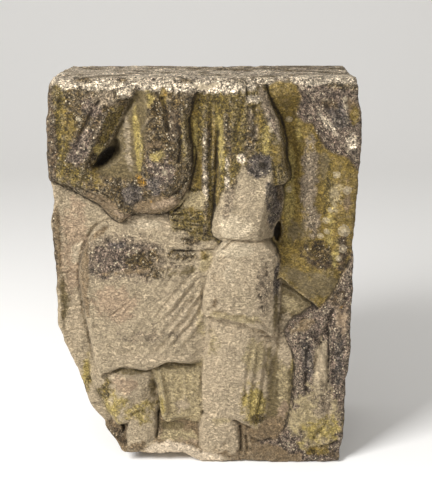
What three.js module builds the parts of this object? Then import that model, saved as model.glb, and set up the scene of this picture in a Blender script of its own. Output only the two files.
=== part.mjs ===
// Stone relief panel: one block of pale limestone with a seated, draped figure carved in a shallow
// niche. The figure is cut off at the chest by the top of the block and has no head or hands.
// Millimetres, +Z up, carved face towards -Y, middle of the underside at the origin.
import * as THREE from 'three';

// ---------- driving sizes ----------
const WIDTH = 770;          // block, left to right
const DEPTH = 400;          // block, carved face to back
const HEIGHT = 1000;        // block, underside to flat top
const COLUMNS = 55;         // facets across the carved face
const ROWS = 71;            // facets up the carved face
const SIDE_STEPS = 2;       // facets from the carved face to the back
const BACK_TAPER = 18;      // the left side leans in this much towards the back
const EDGE_ROUND = 24;      // worn rounding of the long front edges
const TOP_ROUND = 12;       // worn rounding of the top front edge

const NICHE_DEPTH = 96;     // wall of the niche behind the figure
const PANEL_DEPTH = 55;     // smooth side panel left of the figure
const RECESS_DEPTH = 62;    // smooth recess right of the skirt
const TORSO_DEPTH = 66;     // what is left of the chest
const SKIRT_DEPTH = 42;     // middle of the skirt, between the legs
const LEG_DEPTH = 18;       // front of the lower legs
const BASE_DEPTH = 26;      // broken strip under the feet
const FOOT_SIZE = { half: 38, top: 140, face: 6 };

const STONE = { colour: 0xa89a7c, roughness: 0.92, metalness: 0 };

// Left and right outline of the block: [height, distance from the middle line].
// The lower left corner is broken away on a slant from BREAK_TOP to the underside.
const BREAK_TOP = 365;
const LEFT_EDGE = [[0, 172], [22, 190], [68, 232], [120, 276], [190, 297], [BREAK_TOP, 370], [450, 361],
  [628, 384], [693, 371], [775, 385], [805, 385], [888, 382], [930, 372], [HEIGHT, 368]];
const RIGHT_EDGE = [[0, 346], [60, 365], [320, 375], [440, 371], [700, 370], [775, 385], [805, 385],
  [880, 384], [950, 379], [HEIGHT, 356]];

// ---------- small maths ----------
const clamp01 = (t) => Math.min(1, Math.max(0, t));
const mix = (a, b, t) => a + (b - a) * t;

function smooth(from, to, value) {
  const t = clamp01((value - from) / (to - from));
  return t * t * (3 - 2 * t);
}

function hash(ix, iz, seed) {
  let h = Math.imul(ix, 374761393) + Math.imul(iz, 668265263) + Math.imul(seed, 974634777);
  h = Math.imul((h >>> 0) ^ ((h >>> 0) >>> 13), 1274126177) >>> 0;
  return ((h ^ (h >>> 16)) >>> 0) / 4294967295;
}

// Smooth noise from -1 to 1 with lumps of the given size.
function noise(x, z, size, seed) {
  const u = x / size + 1000;
  const v = z / size + 1000;
  const iu = Math.floor(u);
  const iv = Math.floor(v);
  const fu = smooth(0, 1, u - iu);
  const fv = smooth(0, 1, v - iv);
  const low = mix(hash(iu, iv, seed), hash(iu + 1, iv, seed), fu);
  const high = mix(hash(iu, iv + 1, seed), hash(iu + 1, iv + 1, seed), fu);
  return 2 * mix(low, high, fv) - 1;
}

// Read a table of [height, value] pairs, straight between them.
function alongTable(table, height) {
  for (let i = 1; i < table.length; i += 1) {
    const [h0, v0] = table[i - 1];
    const [h1, v1] = table[i];
    if (height <= h1) {
      return mix(v0, v1, clamp01((height - h0) / (h1 - h0)));
    }
  }
  return table[table.length - 1][1];
}

function toSegment(x, z, [ax, az], [bx, bz]) {
  const dx = bx - ax;
  const dz = bz - az;
  const t = clamp01(((x - ax) * dx + (z - az) * dz) / (dx * dx + dz * dz + 1e-9));
  return Math.hypot(x - ax - t * dx, z - az - t * dz);
}

// Distance to a closed outline, positive inside it.
function insideDistance(x, z, loop) {
  let nearest = Infinity;
  let inside = false;
  for (let i = 0; i < loop.length; i += 1) {
    const a = loop[i];
    const b = loop[(i + 1) % loop.length];
    nearest = Math.min(nearest, toSegment(x, z, a, b));
    if ((a[1] > z) !== (b[1] > z) && x < a[0] + ((z - a[1]) * (b[0] - a[0])) / (b[1] - a[1])) {
      inside = !inside;
    }
  }
  return inside ? nearest : -nearest;
}

// A smooth curve through a few corners, as an array of [x, z].
function curve(corners, closed = false) {
  const points = corners.map(([x, z]) => new THREE.Vector3(x, 0, z));
  const path = new THREE.CatmullRomCurve3(points, closed, 'catmullrom', 0.5);
  return path.getPoints(corners.length * 3).slice(0, closed ? -1 : undefined).map((p) => [p.x, p.z]);
}

// ---------- kinds of carving ----------
// Each returns a function (x, z, depth so far) -> depth, measured in from the front plane.

// A raised form: its own surface inside the outline, a rounded edge, and a wall outside it.
function form(corners, face, { round = 12, fall = 10, wall = 4 } = {}) {
  const loop = curve(corners, true);
  return (x, z, depth) => {
    const inside = insideDistance(x, z, loop);
    const level = typeof face === 'function' ? face(x, z) : face;
    const t = clamp01(1 - inside / round);
    const surface = level + fall * (1 - Math.sqrt(1 - t * t)) + Math.max(0, -inside) * wall;
    return Math.min(depth, surface);
  };
}

// A hollow: cut down to the floor inside the outline.
function hollow(corners, floor, soft = 8) {
  const loop = curve(corners, true);
  return (x, z, depth) => {
    const level = typeof floor === 'function' ? floor(x, z) : floor;
    return mix(depth, Math.max(depth, level), smooth(-soft / 2, soft, insideDistance(x, z, loop)));
  };
}

// A fold or groove along a curve: deeper where `sink` is positive, raised where it is negative.
function fold(corners, half, sink) {
  const line = curve(corners);
  return (x, z, depth) => {
    let distance = Infinity;
    for (let i = 1; i < line.length; i += 1) {
      distance = Math.min(distance, toSegment(x, z, line[i - 1], line[i]));
    }
    return depth + sink * smooth(half, 0, distance);
  };
}

// ---------- the carving, from the back of the niche forwards ----------
const lapSlope = (z) => 58 - 30 * smooth(668, 590, z) - 18 * smooth(600, 500, z);

function nicheWall(x, z) {
  let depth = NICHE_DEPTH - 8 * smooth(240, 262, x) - 34 * smooth(280, 350, x);
  depth -= 62 * smooth(900, 985, z) * smooth(180, 330, x + 0.2 * (z - 900));
  return mix(depth, 48, smooth(575, 430, z) * smooth(180, 230, x));
}

const rightRecess = hollow(
  [[190, 478], [258, 448], [300, 415], [330, 360], [300, 200], [240, 50], [150, 40], [160, 300]],
  RECESS_DEPTH, 6);

const sidePanel = form([[-430, 720], [-200, 740], [-200, -60], [-430, -60]],
  (x) => PANEL_DEPTH + 0.5 * Math.max(0, -352 - x), { round: 6, fall: 4 });

const torso = form([[-60, 1040], [70, 1040], [75, 540], [-60, 540]], TORSO_DEPTH);

const lap = form([[-235, 710], [70, 710], [70, 460], [-235, 460]], (x, z) => lapSlope(z));

const skirtMiddle = form([[-150, 340], [30, 340], [2, 112], [-60, 106], [-128, 118]], SKIRT_DEPTH,
  { round: 8, fall: 6, wall: 6 });

const leftLeg = form([[-272, 340], [-120, 340], [-122, 190], [-136, 128], [-236, 116], [-264, 190]],
  LEG_DEPTH + 4, { round: 45, fall: 26, wall: 1.6 });

const rightLeg = form([[0, 410], [182, 410], [180, 190], [164, 104], [66, 120], [-2, 124]],
  (x) => LEG_DEPTH - 2 + 46 * smooth(70, 180, x), { round: 16, fall: 12, wall: 3 });

function mantleFace(x, z) {
  const bulge = 9 + 0.02 * (480 - z) + 20 * smooth(-90, 10, x) + 8 * smooth(-200, -310, x);
  return mix(bulge, lapSlope(z) + 4, smooth(490, 570, z));
}
const mantle = form([[-228, 642], [-290, 596], [-313, 500], [-292, 350], [-274, 246], [-190, 257],
  [-120, 276], [-35, 280], [12, 300], [20, 400], [42, 590], [-80, 655]], mantleFace,
{ round: 30, fall: 16 });

function coverFace(x, z) {
  const side = Math.min(1, (x - 78) / 122);
  const round = side > 0 ? 70 * (1 - Math.sqrt(Math.max(0, 1 - side ** 2.2))) : 48 * (-side) ** 1.6;
  return 2 + round + 10 * smooth(560, 620, z);
}
const cover = form([[62, 614], [8, 515], [-2, 440], [6, 388], [98, 380], [150, 346], [184, 352],
  [199, 440], [188, 548], [140, 608]], coverFace, { round: 8, fall: 6 });

function armFace(x, z) {
  const worn = 0.55 * Math.max(0, x - (118 + 62 * smooth(990, 850, z)));
  return 28 - 14 * smooth(940, 800, z) + 0.85 * Math.max(0, 86 - x) + worn;
}
const upperArm = form([[30, 1040], [120, 1030], [166, 928], [192, 850], [200, 740], [38, 730]],
  armFace, { round: 16, fall: 16 });

// Broken stump of the forearm, with its side face turned to the right.
function stumpFace(x, z) {
  const side = 1.15 * Math.max(0, x - 140 - (z - 606) * 0.14);
  const inner = 0.75 * Math.max(0, 48 + (z - 612) * 0.22 - x);
  return 5 + side + inner + 0.6 * Math.max(0, z - 750) * smooth(60, 120, x);
}
const forearm = form([[62, 806], [120, 816], [190, 768], [208, 690], [174, 588], [100, 600], [22, 616]],
  stumpFace, { round: 8, fall: 6, wall: 5 });

// Rough mass at the upper left, with what is left of the other arm as a lump in it.
function upperLeftFace(x, z) {
  const lump = 12 * Math.exp(-(((x + 108) / 50) ** 2) - ((z - 775) / 80) ** 2);
  return 12 + 5 * noise(x, z, 80, 3) + 0.45 * Math.max(0, -345 - x) - lump + 12 * smooth(740, 650, z);
}
const upperLeft = form([[-430, 1040], [-22, 1040], [-32, 900], [-14, 780], [-50, 716], [-96, 668],
  [-170, 680], [-208, 636], [-300, 716], [-430, 770]], upperLeftFace, { round: 24, fall: 20, wall: 2 });
const pit = hollow([[-160, 972], [-214, 930], [-244, 842], [-270, 792], [-205, 764], [-150, 786],
  [-156, 850], [-124, 950]],
(x, z) => 30 + 10 * smooth(950, 800, z) + 40 * smooth(-185, -235, x - 0.42 * (z - 800)), 10);
const aboveLump = hollow([[-165, 1000], [-85, 1000], [-92, 920], [-140, 915]], 27, 22);

const rim = form([[-60, 1060], [420, 1060], [420, 984], [110, 974], [-60, 966]],
  (x, z) => 17 + 0.25 * Math.max(0, HEIGHT - z), { round: 10, fall: 6, wall: 1.6 });

const upperRight = form([[190, 1060], [440, 1060], [440, 780], [352, 830], [305, 890], [246, 964]],
  (x, z) => 9 + 5 * noise(x, z, 70, 13), { round: 30, fall: 24, wall: 1.7 });

const lowerRight = form([[440, 570], [340, 505], [300, 425], [212, 366], [238, 280], [236, 195],
  [206, 112], [140, 58], [120, -60], [440, -60]],
(x, z) => 12 + 6 * noise(x, z, 90, 41), { round: 36, fall: 30, wall: 1.6 });

const base = form([[-330, 50], [-130, 42], [0, 34], [160, 60], [160, -80], [-330, -80]], BASE_DEPTH,
  { wall: 2 });

function foot(middle, bottom) {
  const { half, top, face } = FOOT_SIZE;
  return form([[middle - half, 90], [middle - half, bottom + 30], [middle - half / 2, bottom],
    [middle + half / 2, bottom], [middle + half, bottom + 30], [middle + half, 100], [middle, top]],
  face, { round: 34, fall: 22, wall: 3 });
}

const folds = [
  fold([[6, 925], [4, 770], [2, 600]], 15, -20),                 // ridge down the chest
  fold([[32, 930], [27, 780], [18, 590]], 12, 16),               // groove beside the arm
  fold([[-90, 960], [-84, 915], [-78, 870]], 10, 20),            // crack above the lump
  fold([[-26, 492], [-66, 432], [-112, 370]], 11, 12),           // folds drawn across the left knee
  fold([[-16, 488], [-60, 398], [-110, 347]], 11, 9),
  fold([[0, 520], [-20, 400], [-12, 330]], 16, 6),               // hollow between the knees
  fold([[4, 415], [60, 408], [180, 372]], 13, -6),               // roll above the hem of the cover
  fold([[152, 318], [118, 225], [108, 180]], 10, -9),            // fanned folds right of the leg
  fold([[140, 322], [112, 270], [98, 215]], 10, 7),
  fold([[176, 320], [172, 220], [164, 96]], 10, 12),
  fold([[-110, 258], [-104, 190], [-95, 116]], 12, -12),         // folds of the middle panel
  fold([[-136, 240], [-124, 190], [-122, 112]], 10, 9),
  fold([[-12, 200], [-10, 100]], 9, 10),
];

const CARVING = [rightRecess, sidePanel, torso, lap, skirtMiddle, leftLeg, rightLeg, mantle, cover,
  upperArm, forearm, upperLeft, rim, upperRight, lowerRight, base, foot(-166, 28), foot(34, 12),
  pit, aboveLump, ...folds];

// How far the worn edge falls away, at this distance in from it.
function wornEdge(distance, round) {
  const t = clamp01(1 - distance / round);
  return round * (1 - Math.sqrt(1 - t * t));
}

// Depth of the carved face behind the front plane.
function faceDepth(x, z) {
  let depth = nicheWall(x, z);
  for (const carve of CARVING) {
    depth = carve(x, z, depth);
  }
  depth = Math.max(0, depth);
  depth += wornEdge(x + alongTable(LEFT_EDGE, z), EDGE_ROUND);
  depth += wornEdge(alongTable(RIGHT_EDGE, z) - x, EDGE_ROUND);
  depth += wornEdge(HEIGHT - z, TOP_ROUND);
  const chip = 32 * smooth(-200, -150, x) * smooth(0, -50, x);   // front of the underside, chipped off
  return depth + 60 * smooth(4, -8, z - chip);
}

// ---------- the closed skin of the block ----------
function blockGeometry() {
  const position = [];
  const index = [];
  const at = (i, j) => j * (COLUMNS + 1) + i;

  for (let j = 0; j <= ROWS; j += 1) {
    const z = (HEIGHT * j) / ROWS;
    const left = -alongTable(LEFT_EDGE, z);
    const right = alongTable(RIGHT_EDGE, z);
    for (let i = 0; i <= COLUMNS; i += 1) {
      const x = mix(left, right, i / COLUMNS);
      position.push(x, faceDepth(x, z) - DEPTH / 2, z);
    }
  }
  for (let j = 0; j < ROWS; j += 1) {
    for (let i = 0; i < COLUMNS; i += 1) {
      index.push(at(i, j), at(i + 1, j), at(i + 1, j + 1));
      index.push(at(i, j), at(i + 1, j + 1), at(i, j + 1));
    }
  }

  // Border of the face, once round, then carried back to a flat rear face.
  let ring = [];
  for (let i = 0; i < COLUMNS; i += 1) ring.push(at(i, 0));
  for (let j = 0; j < ROWS; j += 1) ring.push(at(COLUMNS, j));
  for (let i = COLUMNS; i > 0; i -= 1) ring.push(at(i, ROWS));
  for (let j = ROWS; j > 0; j -= 1) ring.push(at(0, j));
  const border = ring.map((k) => position.slice(3 * k, 3 * k + 3));

  for (let step = 1; step <= SIDE_STEPS; step += 1) {
    const t = step / SIDE_STEPS;
    const next = border.map(([x, y, z]) => {
      const lean = BACK_TAPER * t * smooth(0, -WIDTH / 2, x);
      position.push(x + lean, mix(y, DEPTH / 2, t), z);
      return position.length / 3 - 1;
    });
    for (let k = 0; k < ring.length; k += 1) {
      const m = (k + 1) % ring.length;
      index.push(ring[k], next[k], next[m]);
      index.push(ring[k], next[m], ring[m]);
    }
    ring = next;
  }

  const outline = ring.map((k) => new THREE.Vector2(position[3 * k], position[3 * k + 2]));
  for (const [a, b, c] of THREE.ShapeUtils.triangulateShape(outline, [])) {
    const turn = (outline[b].x - outline[a].x) * (outline[c].y - outline[a].y)
      - (outline[b].y - outline[a].y) * (outline[c].x - outline[a].x);
    index.push(...(turn > 0 ? [ring[a], ring[c], ring[b]] : [ring[a], ring[b], ring[c]]));
  }

  const geometry = new THREE.BufferGeometry();
  geometry.setAttribute('position', new THREE.Float32BufferAttribute(position, 3));
  geometry.setIndex(index);
  geometry.computeVertexNormals();
  return geometry;
}

const stone = new THREE.MeshStandardMaterial({
  color: STONE.colour,
  roughness: STONE.roughness,
  metalness: STONE.metalness,
  flatShading: true,
});

const block = new THREE.Mesh(blockGeometry(), stone);
block.name = 'relief_block';

const part = new THREE.Group();
part.name = 'stone_relief_panel';
part.add(block);

export default part;
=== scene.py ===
"""Stone relief panel: a weathered limestone block with a seated, draped figure in a shallow niche.

The figure is cut off at the chest by the top of the block. The carving is laid out in millimetres
on the front plane, x from the middle and z from the underside, and depth runs into the block.
"""

import math

import bpy
import numpy as np
from bpy.props import FloatProperty, FloatVectorProperty, IntProperty, PointerProperty
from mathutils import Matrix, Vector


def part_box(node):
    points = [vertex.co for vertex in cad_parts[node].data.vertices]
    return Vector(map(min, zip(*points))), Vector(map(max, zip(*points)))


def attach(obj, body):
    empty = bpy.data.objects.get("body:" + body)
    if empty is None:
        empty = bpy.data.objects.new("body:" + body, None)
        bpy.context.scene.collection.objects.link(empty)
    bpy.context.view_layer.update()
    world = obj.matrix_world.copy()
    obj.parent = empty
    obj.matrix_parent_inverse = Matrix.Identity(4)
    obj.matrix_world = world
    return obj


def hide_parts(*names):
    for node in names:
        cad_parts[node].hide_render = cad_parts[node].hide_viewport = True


bl_info = {
    "name": "Stone Relief Panel",
    "version": (1, 0, 0),
    "blender": (4, 5, 0),
    "location": "3D View > Sidebar > Relief",
    "description": "Carves a weathered stone relief block and sets it on a plain stage",
    "category": "Object",
}

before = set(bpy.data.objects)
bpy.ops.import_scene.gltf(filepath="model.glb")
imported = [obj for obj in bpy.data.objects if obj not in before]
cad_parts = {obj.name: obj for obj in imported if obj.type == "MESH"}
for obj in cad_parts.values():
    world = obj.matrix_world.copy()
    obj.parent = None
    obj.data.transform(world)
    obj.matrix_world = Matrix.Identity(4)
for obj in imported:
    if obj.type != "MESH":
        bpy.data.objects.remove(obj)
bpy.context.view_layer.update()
BLOCK_LOW, BLOCK_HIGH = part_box("relief_block")
MM = 0.001
NAME = "carved_relief"
HEIGHT = 1000  # of the block, in millimetres
FAR = 1e9
FACE_STEP = 1.8  # millimetres between the points at which colours and hollows are worked out
REAR_LEFT, REAR_RIGHT = -0.366, 0.379  # where the plain sides meet the back
# The room the texture layout gives the block, in metres, with the front plane and the left side.
LAYOUT = {"width": 0.77, "half": 0.385, "depth": 0.4, "front": 0.2, "height": 1.0}


def linear(red, green, blue):
    """A colour given as it looks on a screen, 0 to 255, as the linear values the shader takes."""
    out = []
    for value in (red, green, blue):
        c = value / 255
        out.append(c / 12.92 if c <= 0.04045 else ((c + 0.055) / 1.055) ** 2.4)
    return tuple(out)


# ---------------------------------------------------------------------------------------------
# Sizes, depths, colours and stage
# ---------------------------------------------------------------------------------------------
def length(name, text, default, low=0.0):
    return FloatProperty(name=name, description=text, default=default, min=low, unit="LENGTH",
                         subtype="DISTANCE", precision=4)


def colour(name, text, red, green, blue):
    return FloatVectorProperty(name=name, description=text, default=linear(red, green, blue),
                               min=0, max=1, size=3, subtype="COLOR")


class BlockSizes(bpy.types.PropertyGroup):
    """Outer sizes of the block and how finely it is cut."""
    width: length("Width", "Left to right", BLOCK_HIGH.x - BLOCK_LOW.x)
    depth: length("Depth", "Carved face to back", BLOCK_HIGH.y - BLOCK_LOW.y)
    height: length("Height", "Underside to flat top", BLOCK_HIGH.z - BLOCK_LOW.z)
    edge_round: length("Worn edges", "Rounding of the long front edges", 0.012)
    top_round: length("Worn top edge", "Rounding of the top front edge", 0.046)
    cell: length("Carving step", "Spacing of the points the face is carved with", 0.0024, 0.001)
    skin: length("Skin step", "Spacing of the even skin laid over the block", 0.0026, 0.001)
    faces: IntProperty(name="Triangles", description="Triangles kept in the finished block",
                       default=192000, min=5000)
    side_faces: IntProperty(name="Side triangles", description="Those on the sides and the back",
                            default=36000, min=500)


class CarvingDepths(bpy.types.PropertyGroup):
    """How far the main surfaces lie behind the front plane."""
    niche: length("Niche wall", "Wall behind the figure", 0.086)
    panel: length("Side panel", "Smooth panel left of the figure", 0.055)
    recess: length("Lower recess", "Smooth recess right of the skirt", 0.056)
    torso: length("Chest", "What is left of the chest", 0.040)
    skirt: length("Skirt", "Middle of the skirt between the legs", 0.033)
    leg: length("Lower legs", "Front of the lower legs", 0.018)
    base: length("Base strip", "Broken strip under the feet", 0.008)


class StoneColours(bpy.types.PropertyGroup):
    """Colours of the stone itself and of what grows on it; two of them also serve as painted shade
    and painted highlight.
    """
    # Pale stone, also used as painted highlight on the knee under the cover, on the stump's front
    # face and on ridges.
    ivory_and_highlight: colour("Ivory", "Fresh or sheltered stone", 206, 188, 158)
    fresh: colour("Fresh break", "Bright stone of the newest break", 220, 200, 172)
    cream: colour("Cream", "Pale open surfaces", 187, 168, 139)
    beige: colour("Beige", "Weathered open surfaces", 178, 160, 131)
    sand: colour("Sand", "Yellowish weathered stone", 175, 157, 119)
    rosy: colour("Rosy", "Pinkish weathered stone", 175, 151, 123)
    tan: colour("Tan", "Brown-stained stone", 132, 111, 82)
    khaki: colour("Khaki", "Sheltered green-brown stone", 112, 97, 65)
    film: colour("Olive film", "Smooth olive film in the damp hollows", 126, 105, 49)
    olive: colour("Olive", "Olive growth", 100, 84, 38)
    moss: colour("Moss", "Yellow-green moss", 168, 148, 85)
    umber: colour("Umber", "Dark brown crust", 80, 64, 44)
    grey: colour("Grey", "Grey film", 138, 122, 100)
    scurf: colour("Scurf", "Mixed crust on the rough masses", 85, 69, 40)
    crust: colour("Plum crust", "Purplish brown crust", 108, 92, 79)
    slate: colour("Slate crust", "Bluish dark crust", 86, 77, 70)
    chalk: colour("Chalky crust", "Pale crust on the upper edges", 204, 188, 164)
    speck: colour("Pale specks", "Pale lichen specks and rosettes", 228, 210, 176)
    ochre: colour("Ochre lichen", "Orange-yellow spots", 202, 150, 48)
    # Dark brown, used partly for dirt and dark specks, partly as painted shade in creases and
    # hollows and as painted shadow in the deep pit and hole.
    crevice_shade_and_dirt: colour("Crevice dirt", "Dark brown dirt in cracks and corners", 40, 31, 17)


class StageSettings(bpy.types.PropertyGroup):
    """Floor, light and camera."""
    floor: colour("Floor", "Plain pale floor and backdrop", 249, 248, 246)
    key: FloatProperty(name="Key light", description="Soft light from the upper left", default=218,
                       min=0, unit="POWER")
    fill: FloatProperty(name="Fill light", description="Weak light from the right", default=16,
                        min=0, unit="POWER")
    sky: FloatProperty(name="Surrounding light", description="Even light from all round",
                       default=0.50, min=0)
    distance: length("Camera distance", "From the front plane", 2.3516)
    camera_height: length("Camera height", "Above the underside", 1.2178)
    camera_side: length("Camera offset", "To the right of the middle", 0.030)
    tilt: FloatProperty(name="Tilt", description="How far the camera looks down",
                        default=math.radians(15.2), subtype="ANGLE")
    lens: FloatProperty(name="Lens", description="Focal length in millimetres", default=70.57)


# ---------------------------------------------------------------------------------------------
# Noise and curves, on arrays
# ---------------------------------------------------------------------------------------------
def smooth(start, end, value):
    t = np.clip((value - start) / (end - start), 0, 1)
    return t * t * (3 - 2 * t)


def mix(a, b, t):
    return a + (b - a) * t


def bump_at(value, middle, spread):
    """A bell from 0 to 1 around the middle."""
    return np.exp(-(((value - middle) / spread) ** 2))


def scatter(i, j, k, seed):
    """A fixed random number from 0 to 1 for each whole-number place."""
    h = (i.astype(np.int64) * 374761393 + j.astype(np.int64) * 668265263
         + k.astype(np.int64) * 2147483647 + seed * 974634777) & 0xFFFFFFFF
    h = ((h ^ (h >> 13)) * 1274126177) & 0xFFFFFFFF
    return ((h ^ (h >> 16)) & 0xFFFFFFFF) / 4294967295.0


def noise(x, z, size, seed):
    """Smooth noise from -1 to 1 with lumps of the given size."""
    u, v = x / size + 1000, z / size + 1000
    iu, iv = np.floor(u), np.floor(v)
    fu, fv = smooth(0, 1, u - iu), smooth(0, 1, v - iv)
    zero = np.zeros_like(iu)
    low = mix(scatter(iu, iv, zero, seed), scatter(iu + 1, iv, zero, seed), fu)
    high = mix(scatter(iu, iv + 1, zero, seed), scatter(iu + 1, iv + 1, zero, seed), fu)
    return 2 * mix(low, high, fv) - 1


def ragged(x, z, size, seed):
    """Noise with two finer layers on top, from about -1 to 1."""
    total, share = 0.0, 1.0
    for layer in range(3):
        total = total + share * noise(x + 37 * layer, z - 91 * layer, size / 2 ** layer,
                                      seed + layer)
        share *= 0.55
    return total / 1.8


def rock(points, size, seed):
    """Smooth noise in space from -1 to 1, at an array of points."""
    place = points / size + 1000
    cell = np.floor(place)
    f = smooth(0, 1, place - cell)
    total = 0.0
    for a in (0, 1):
        for b in (0, 1):
            for c in (0, 1):
                share = (np.where(a, f[:, 0], 1 - f[:, 0]) * np.where(b, f[:, 1], 1 - f[:, 1])
                         * np.where(c, f[:, 2], 1 - f[:, 2]))
                corner = scatter(cell[:, 0] + a, cell[:, 1] + b, cell[:, 2] + c, seed)
                total = total + share * corner
    return 2 * total - 1


def curve(corners, closed=False, steps=4):
    """A smooth curve through a few corners."""
    p = np.array(corners, float)
    count = len(p)
    if closed:
        before, after = lambda i: p[i % count], lambda i: p[i % count]
    else:
        before = lambda i: p[max(i, 0)]
        after = lambda i: p[min(i, count - 1)]
    out = []
    for i in range(count if closed else count - 1):
        a, b, c, d = before(i - 1), p[i], after(i + 1), after(i + 2)
        for step in range(steps):
            t = step / steps
            out.append(0.5 * (2 * b + (c - a) * t + (2 * a - 5 * b + 4 * c - d) * t * t
                              + (3 * b - a - 3 * c + d) * t ** 3))
    if not closed:
        out.append(p[-1])
    return np.array(out)


def to_segment(x, z, a, b):
    """Distance to a straight stretch, and how far along it the nearest place is."""
    dx, dz = b[0] - a[0], b[1] - a[1]
    t = np.clip(((x - a[0]) * dx + (z - a[1]) * dz) / (dx * dx + dz * dz + 1e-9), 0, 1)
    return np.hypot(x - a[0] - t * dx, z - a[1] - t * dz), t


def inside_distance(x, z, loop):
    """Distance to a closed outline, positive inside it."""
    nearest = np.full(x.shape, FAR)
    inside = np.zeros(x.shape, bool)
    for a, b in zip(loop, np.roll(loop, -1, axis=0)):
        nearest = np.minimum(nearest, to_segment(x, z, a, b)[0])
        rise = b[1] - a[1] if abs(b[1] - a[1]) > 1e-9 else 1e-9
        inside ^= ((a[1] > z) != (b[1] > z)) & (x < a[0] + (z - a[1]) * (b[0] - a[0]) / rise)
    return np.where(inside, nearest, -nearest)


# ---------------------------------------------------------------------------------------------
# The carving
# ---------------------------------------------------------------------------------------------
# Left and right side of the block at its face: height, and distance from the middle line. Few
# places are given; the worn waviness between them comes from left_edge and right_edge. The lower
# left corner is broken away on a slant.
LEFT_EDGE = ((0, 178), (60, 240), (130, 298), (365, 380), (500, 378), (640, 385), (695, 375),
             (780, 385), (900, 382), (1000, 366))
RIGHT_EDGE = ((0, 350), (60, 366), (230, 367), (320, 375), (480, 374), (650, 380), (780, 385),
              (900, 381), (1000, 366))
HALF_WIDTH = 384.8  # the sides never stand out further than this
REGIONS = ("wall", "recess", "panel", "chest", "lap", "middle", "left leg", "right leg", "mantle",
           "cover", "sleeve", "stump", "mass", "trough", "rim", "corner", "bark", "strip",
           "left foot", "right foot")


def along(table, height):
    heights, values = np.array(table, float).T
    return np.interp(height, heights, values)


def left_edge(z):
    """Distance of the worn left side from the middle line."""
    return np.minimum(along(LEFT_EDGE, z) + 2.2 * ragged(z, z * 0, 42, 64), HALF_WIDTH)


def right_edge(z):
    """Distance of the worn right side from the middle line."""
    return np.minimum(along(RIGHT_EDGE, z) + 2.2 * ragged(z, z * 0, 42, 66), HALF_WIDTH)


class Carving:
    """Depth of the carved face behind the front plane, in millimetres, at many places at once,
    and which form each place belongs to."""

    def __init__(self, x, z, depths):
        self.x, self.z, self.depths = x, z, depths
        self.depth = np.zeros_like(x)
        self.region = np.zeros(x.shape, int)

    def near(self, line, reach):
        """The places in the box round a curve, to which its form is limited."""
        low, high = line.min(0) - reach, line.max(0) + reach
        return ((self.x > low[0]) & (self.x < high[0]) & (self.z > low[1]) & (self.z < high[1]))

    def shaken(self, spot, wobble, size, seed):
        """The places in a spot, moved about a little so that outlines come out uneven."""
        x, z = self.x[spot], self.z[spot]
        if not wobble:
            return x, z
        return x + wobble * ragged(x, z, size, seed), z + wobble * ragged(x, z, size, seed + 7)

    def form(self, name, corners, face, round_=12, fall=10, wall=4, wobble=0, seed=1, weld=0):
        """A raised form: its surface inside the outline, a rounded edge, and a wall outside it."""
        loop = curve(corners, True)
        spot = self.near(loop, 110 / wall + wobble)
        x, z = self.shaken(spot, wobble, 34, seed)
        inside = inside_distance(x, z, loop)
        level = face(self.x[spot], self.z[spot]) if callable(face) else face
        drop = fall(self.x[spot], self.z[spot]) if callable(fall) else fall
        t = np.clip(1 - inside / round_, 0, 1)
        surface = level + drop * (1 - np.sqrt(1 - t * t)) + np.maximum(0, -inside) * wall
        old = self.depth[spot]
        self.region[spot] = np.where(surface < old, REGIONS.index(name), self.region[spot])
        if weld:
            share = np.clip(0.5 + 0.5 * (old - surface) / weld, 0, 1)
            self.depth[spot] = mix(old, surface, share) - weld * share * (1 - share)
        else:
            self.depth[spot] = np.minimum(old, surface)

    def hollow(self, name, corners, floor, soft=8, wobble=0, seed=1):
        """A hollow, cut down to its floor inside the outline."""
        loop = curve(corners, True)
        spot = self.near(loop, soft + wobble)
        x, z = self.shaken(spot, wobble, 30, seed)
        level = floor(self.x[spot], self.z[spot]) if callable(floor) else floor
        inside = smooth(-soft / 2, soft, inside_distance(x, z, loop))
        if name:
            self.region[spot] = np.where(inside > 0.5, REGIONS.index(name), self.region[spot])
        self.depth[spot] = mix(self.depth[spot], np.maximum(self.depth[spot], level), inside)

    def fold(self, corners, half, sink, wobble=0, seed=1, crease=0, taper=0.15):
        """A fold along a curve: a groove where sink is positive, a ridge where it is negative.
        With a crease, the side to the right of the curve falls off at once."""
        line = curve(corners, steps=5)
        spot = self.near(line, half + wobble)
        x, z = self.shaken(spot, wobble, 25, seed)
        nearest = np.full(x.shape, FAR)
        reach = np.zeros(x.shape)
        side = np.zeros(x.shape)
        for i, (a, b) in enumerate(zip(line[:-1], line[1:])):
            distance, t = to_segment(x, z, a, b)
            closer = distance < nearest
            nearest = np.where(closer, distance, nearest)
            reach = np.where(closer, (i + t) / (len(line) - 1), reach)
            turn = (x - a[0]) * (b[1] - a[1]) - (z - a[1]) * (b[0] - a[0])
            side = np.where(closer, turn, side)
        profile = smooth(half, 0, nearest)
        if crease:
            profile = np.where(side * crease > 0, smooth(half * 0.22, 0, nearest), profile)
        if taper:
            profile = profile * smooth(0, taper, reach) * (1 - smooth(1 - taper, 1, reach))
        self.depth[spot] += sink * profile

    def folds(self, lines, wobble=1.5, seed=80):
        """Several folds: corners, half width, sink, and where it has one, a crease."""
        for number, (corners, half, sink, *crease) in enumerate(lines):
            self.fold(corners, half, sink, wobble, seed + number, *crease)

    def fan(self, first, last, count, half, sink, seed, wobble=2):
        """Folds spread from a first curve to a last one, a groove and a ridge in turn, some of
        them fainter, closer or shorter than others."""
        first, last = np.array(first, float), np.array(last, float)
        for number in range(count):
            uneven = math.sin(2.4 * number + seed)
            line = mix(first, last, (number + 0.28 * uneven) / (count - 1))
            strength = sink * (0.8 + 0.35 * math.cos(1.7 * number + seed))
            self.fold(line, half * (1 + 0.2 * uneven), -strength if number % 2 else strength,
                      wobble, seed + number, 0, 0.3 + 0.14 * uneven)


def lap_slope(z):
    """The lap comes forward from the waist to the knees."""
    return 60 - 28 * smooth(668, 590, z) - 20 * smooth(600, 500, z)


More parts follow.
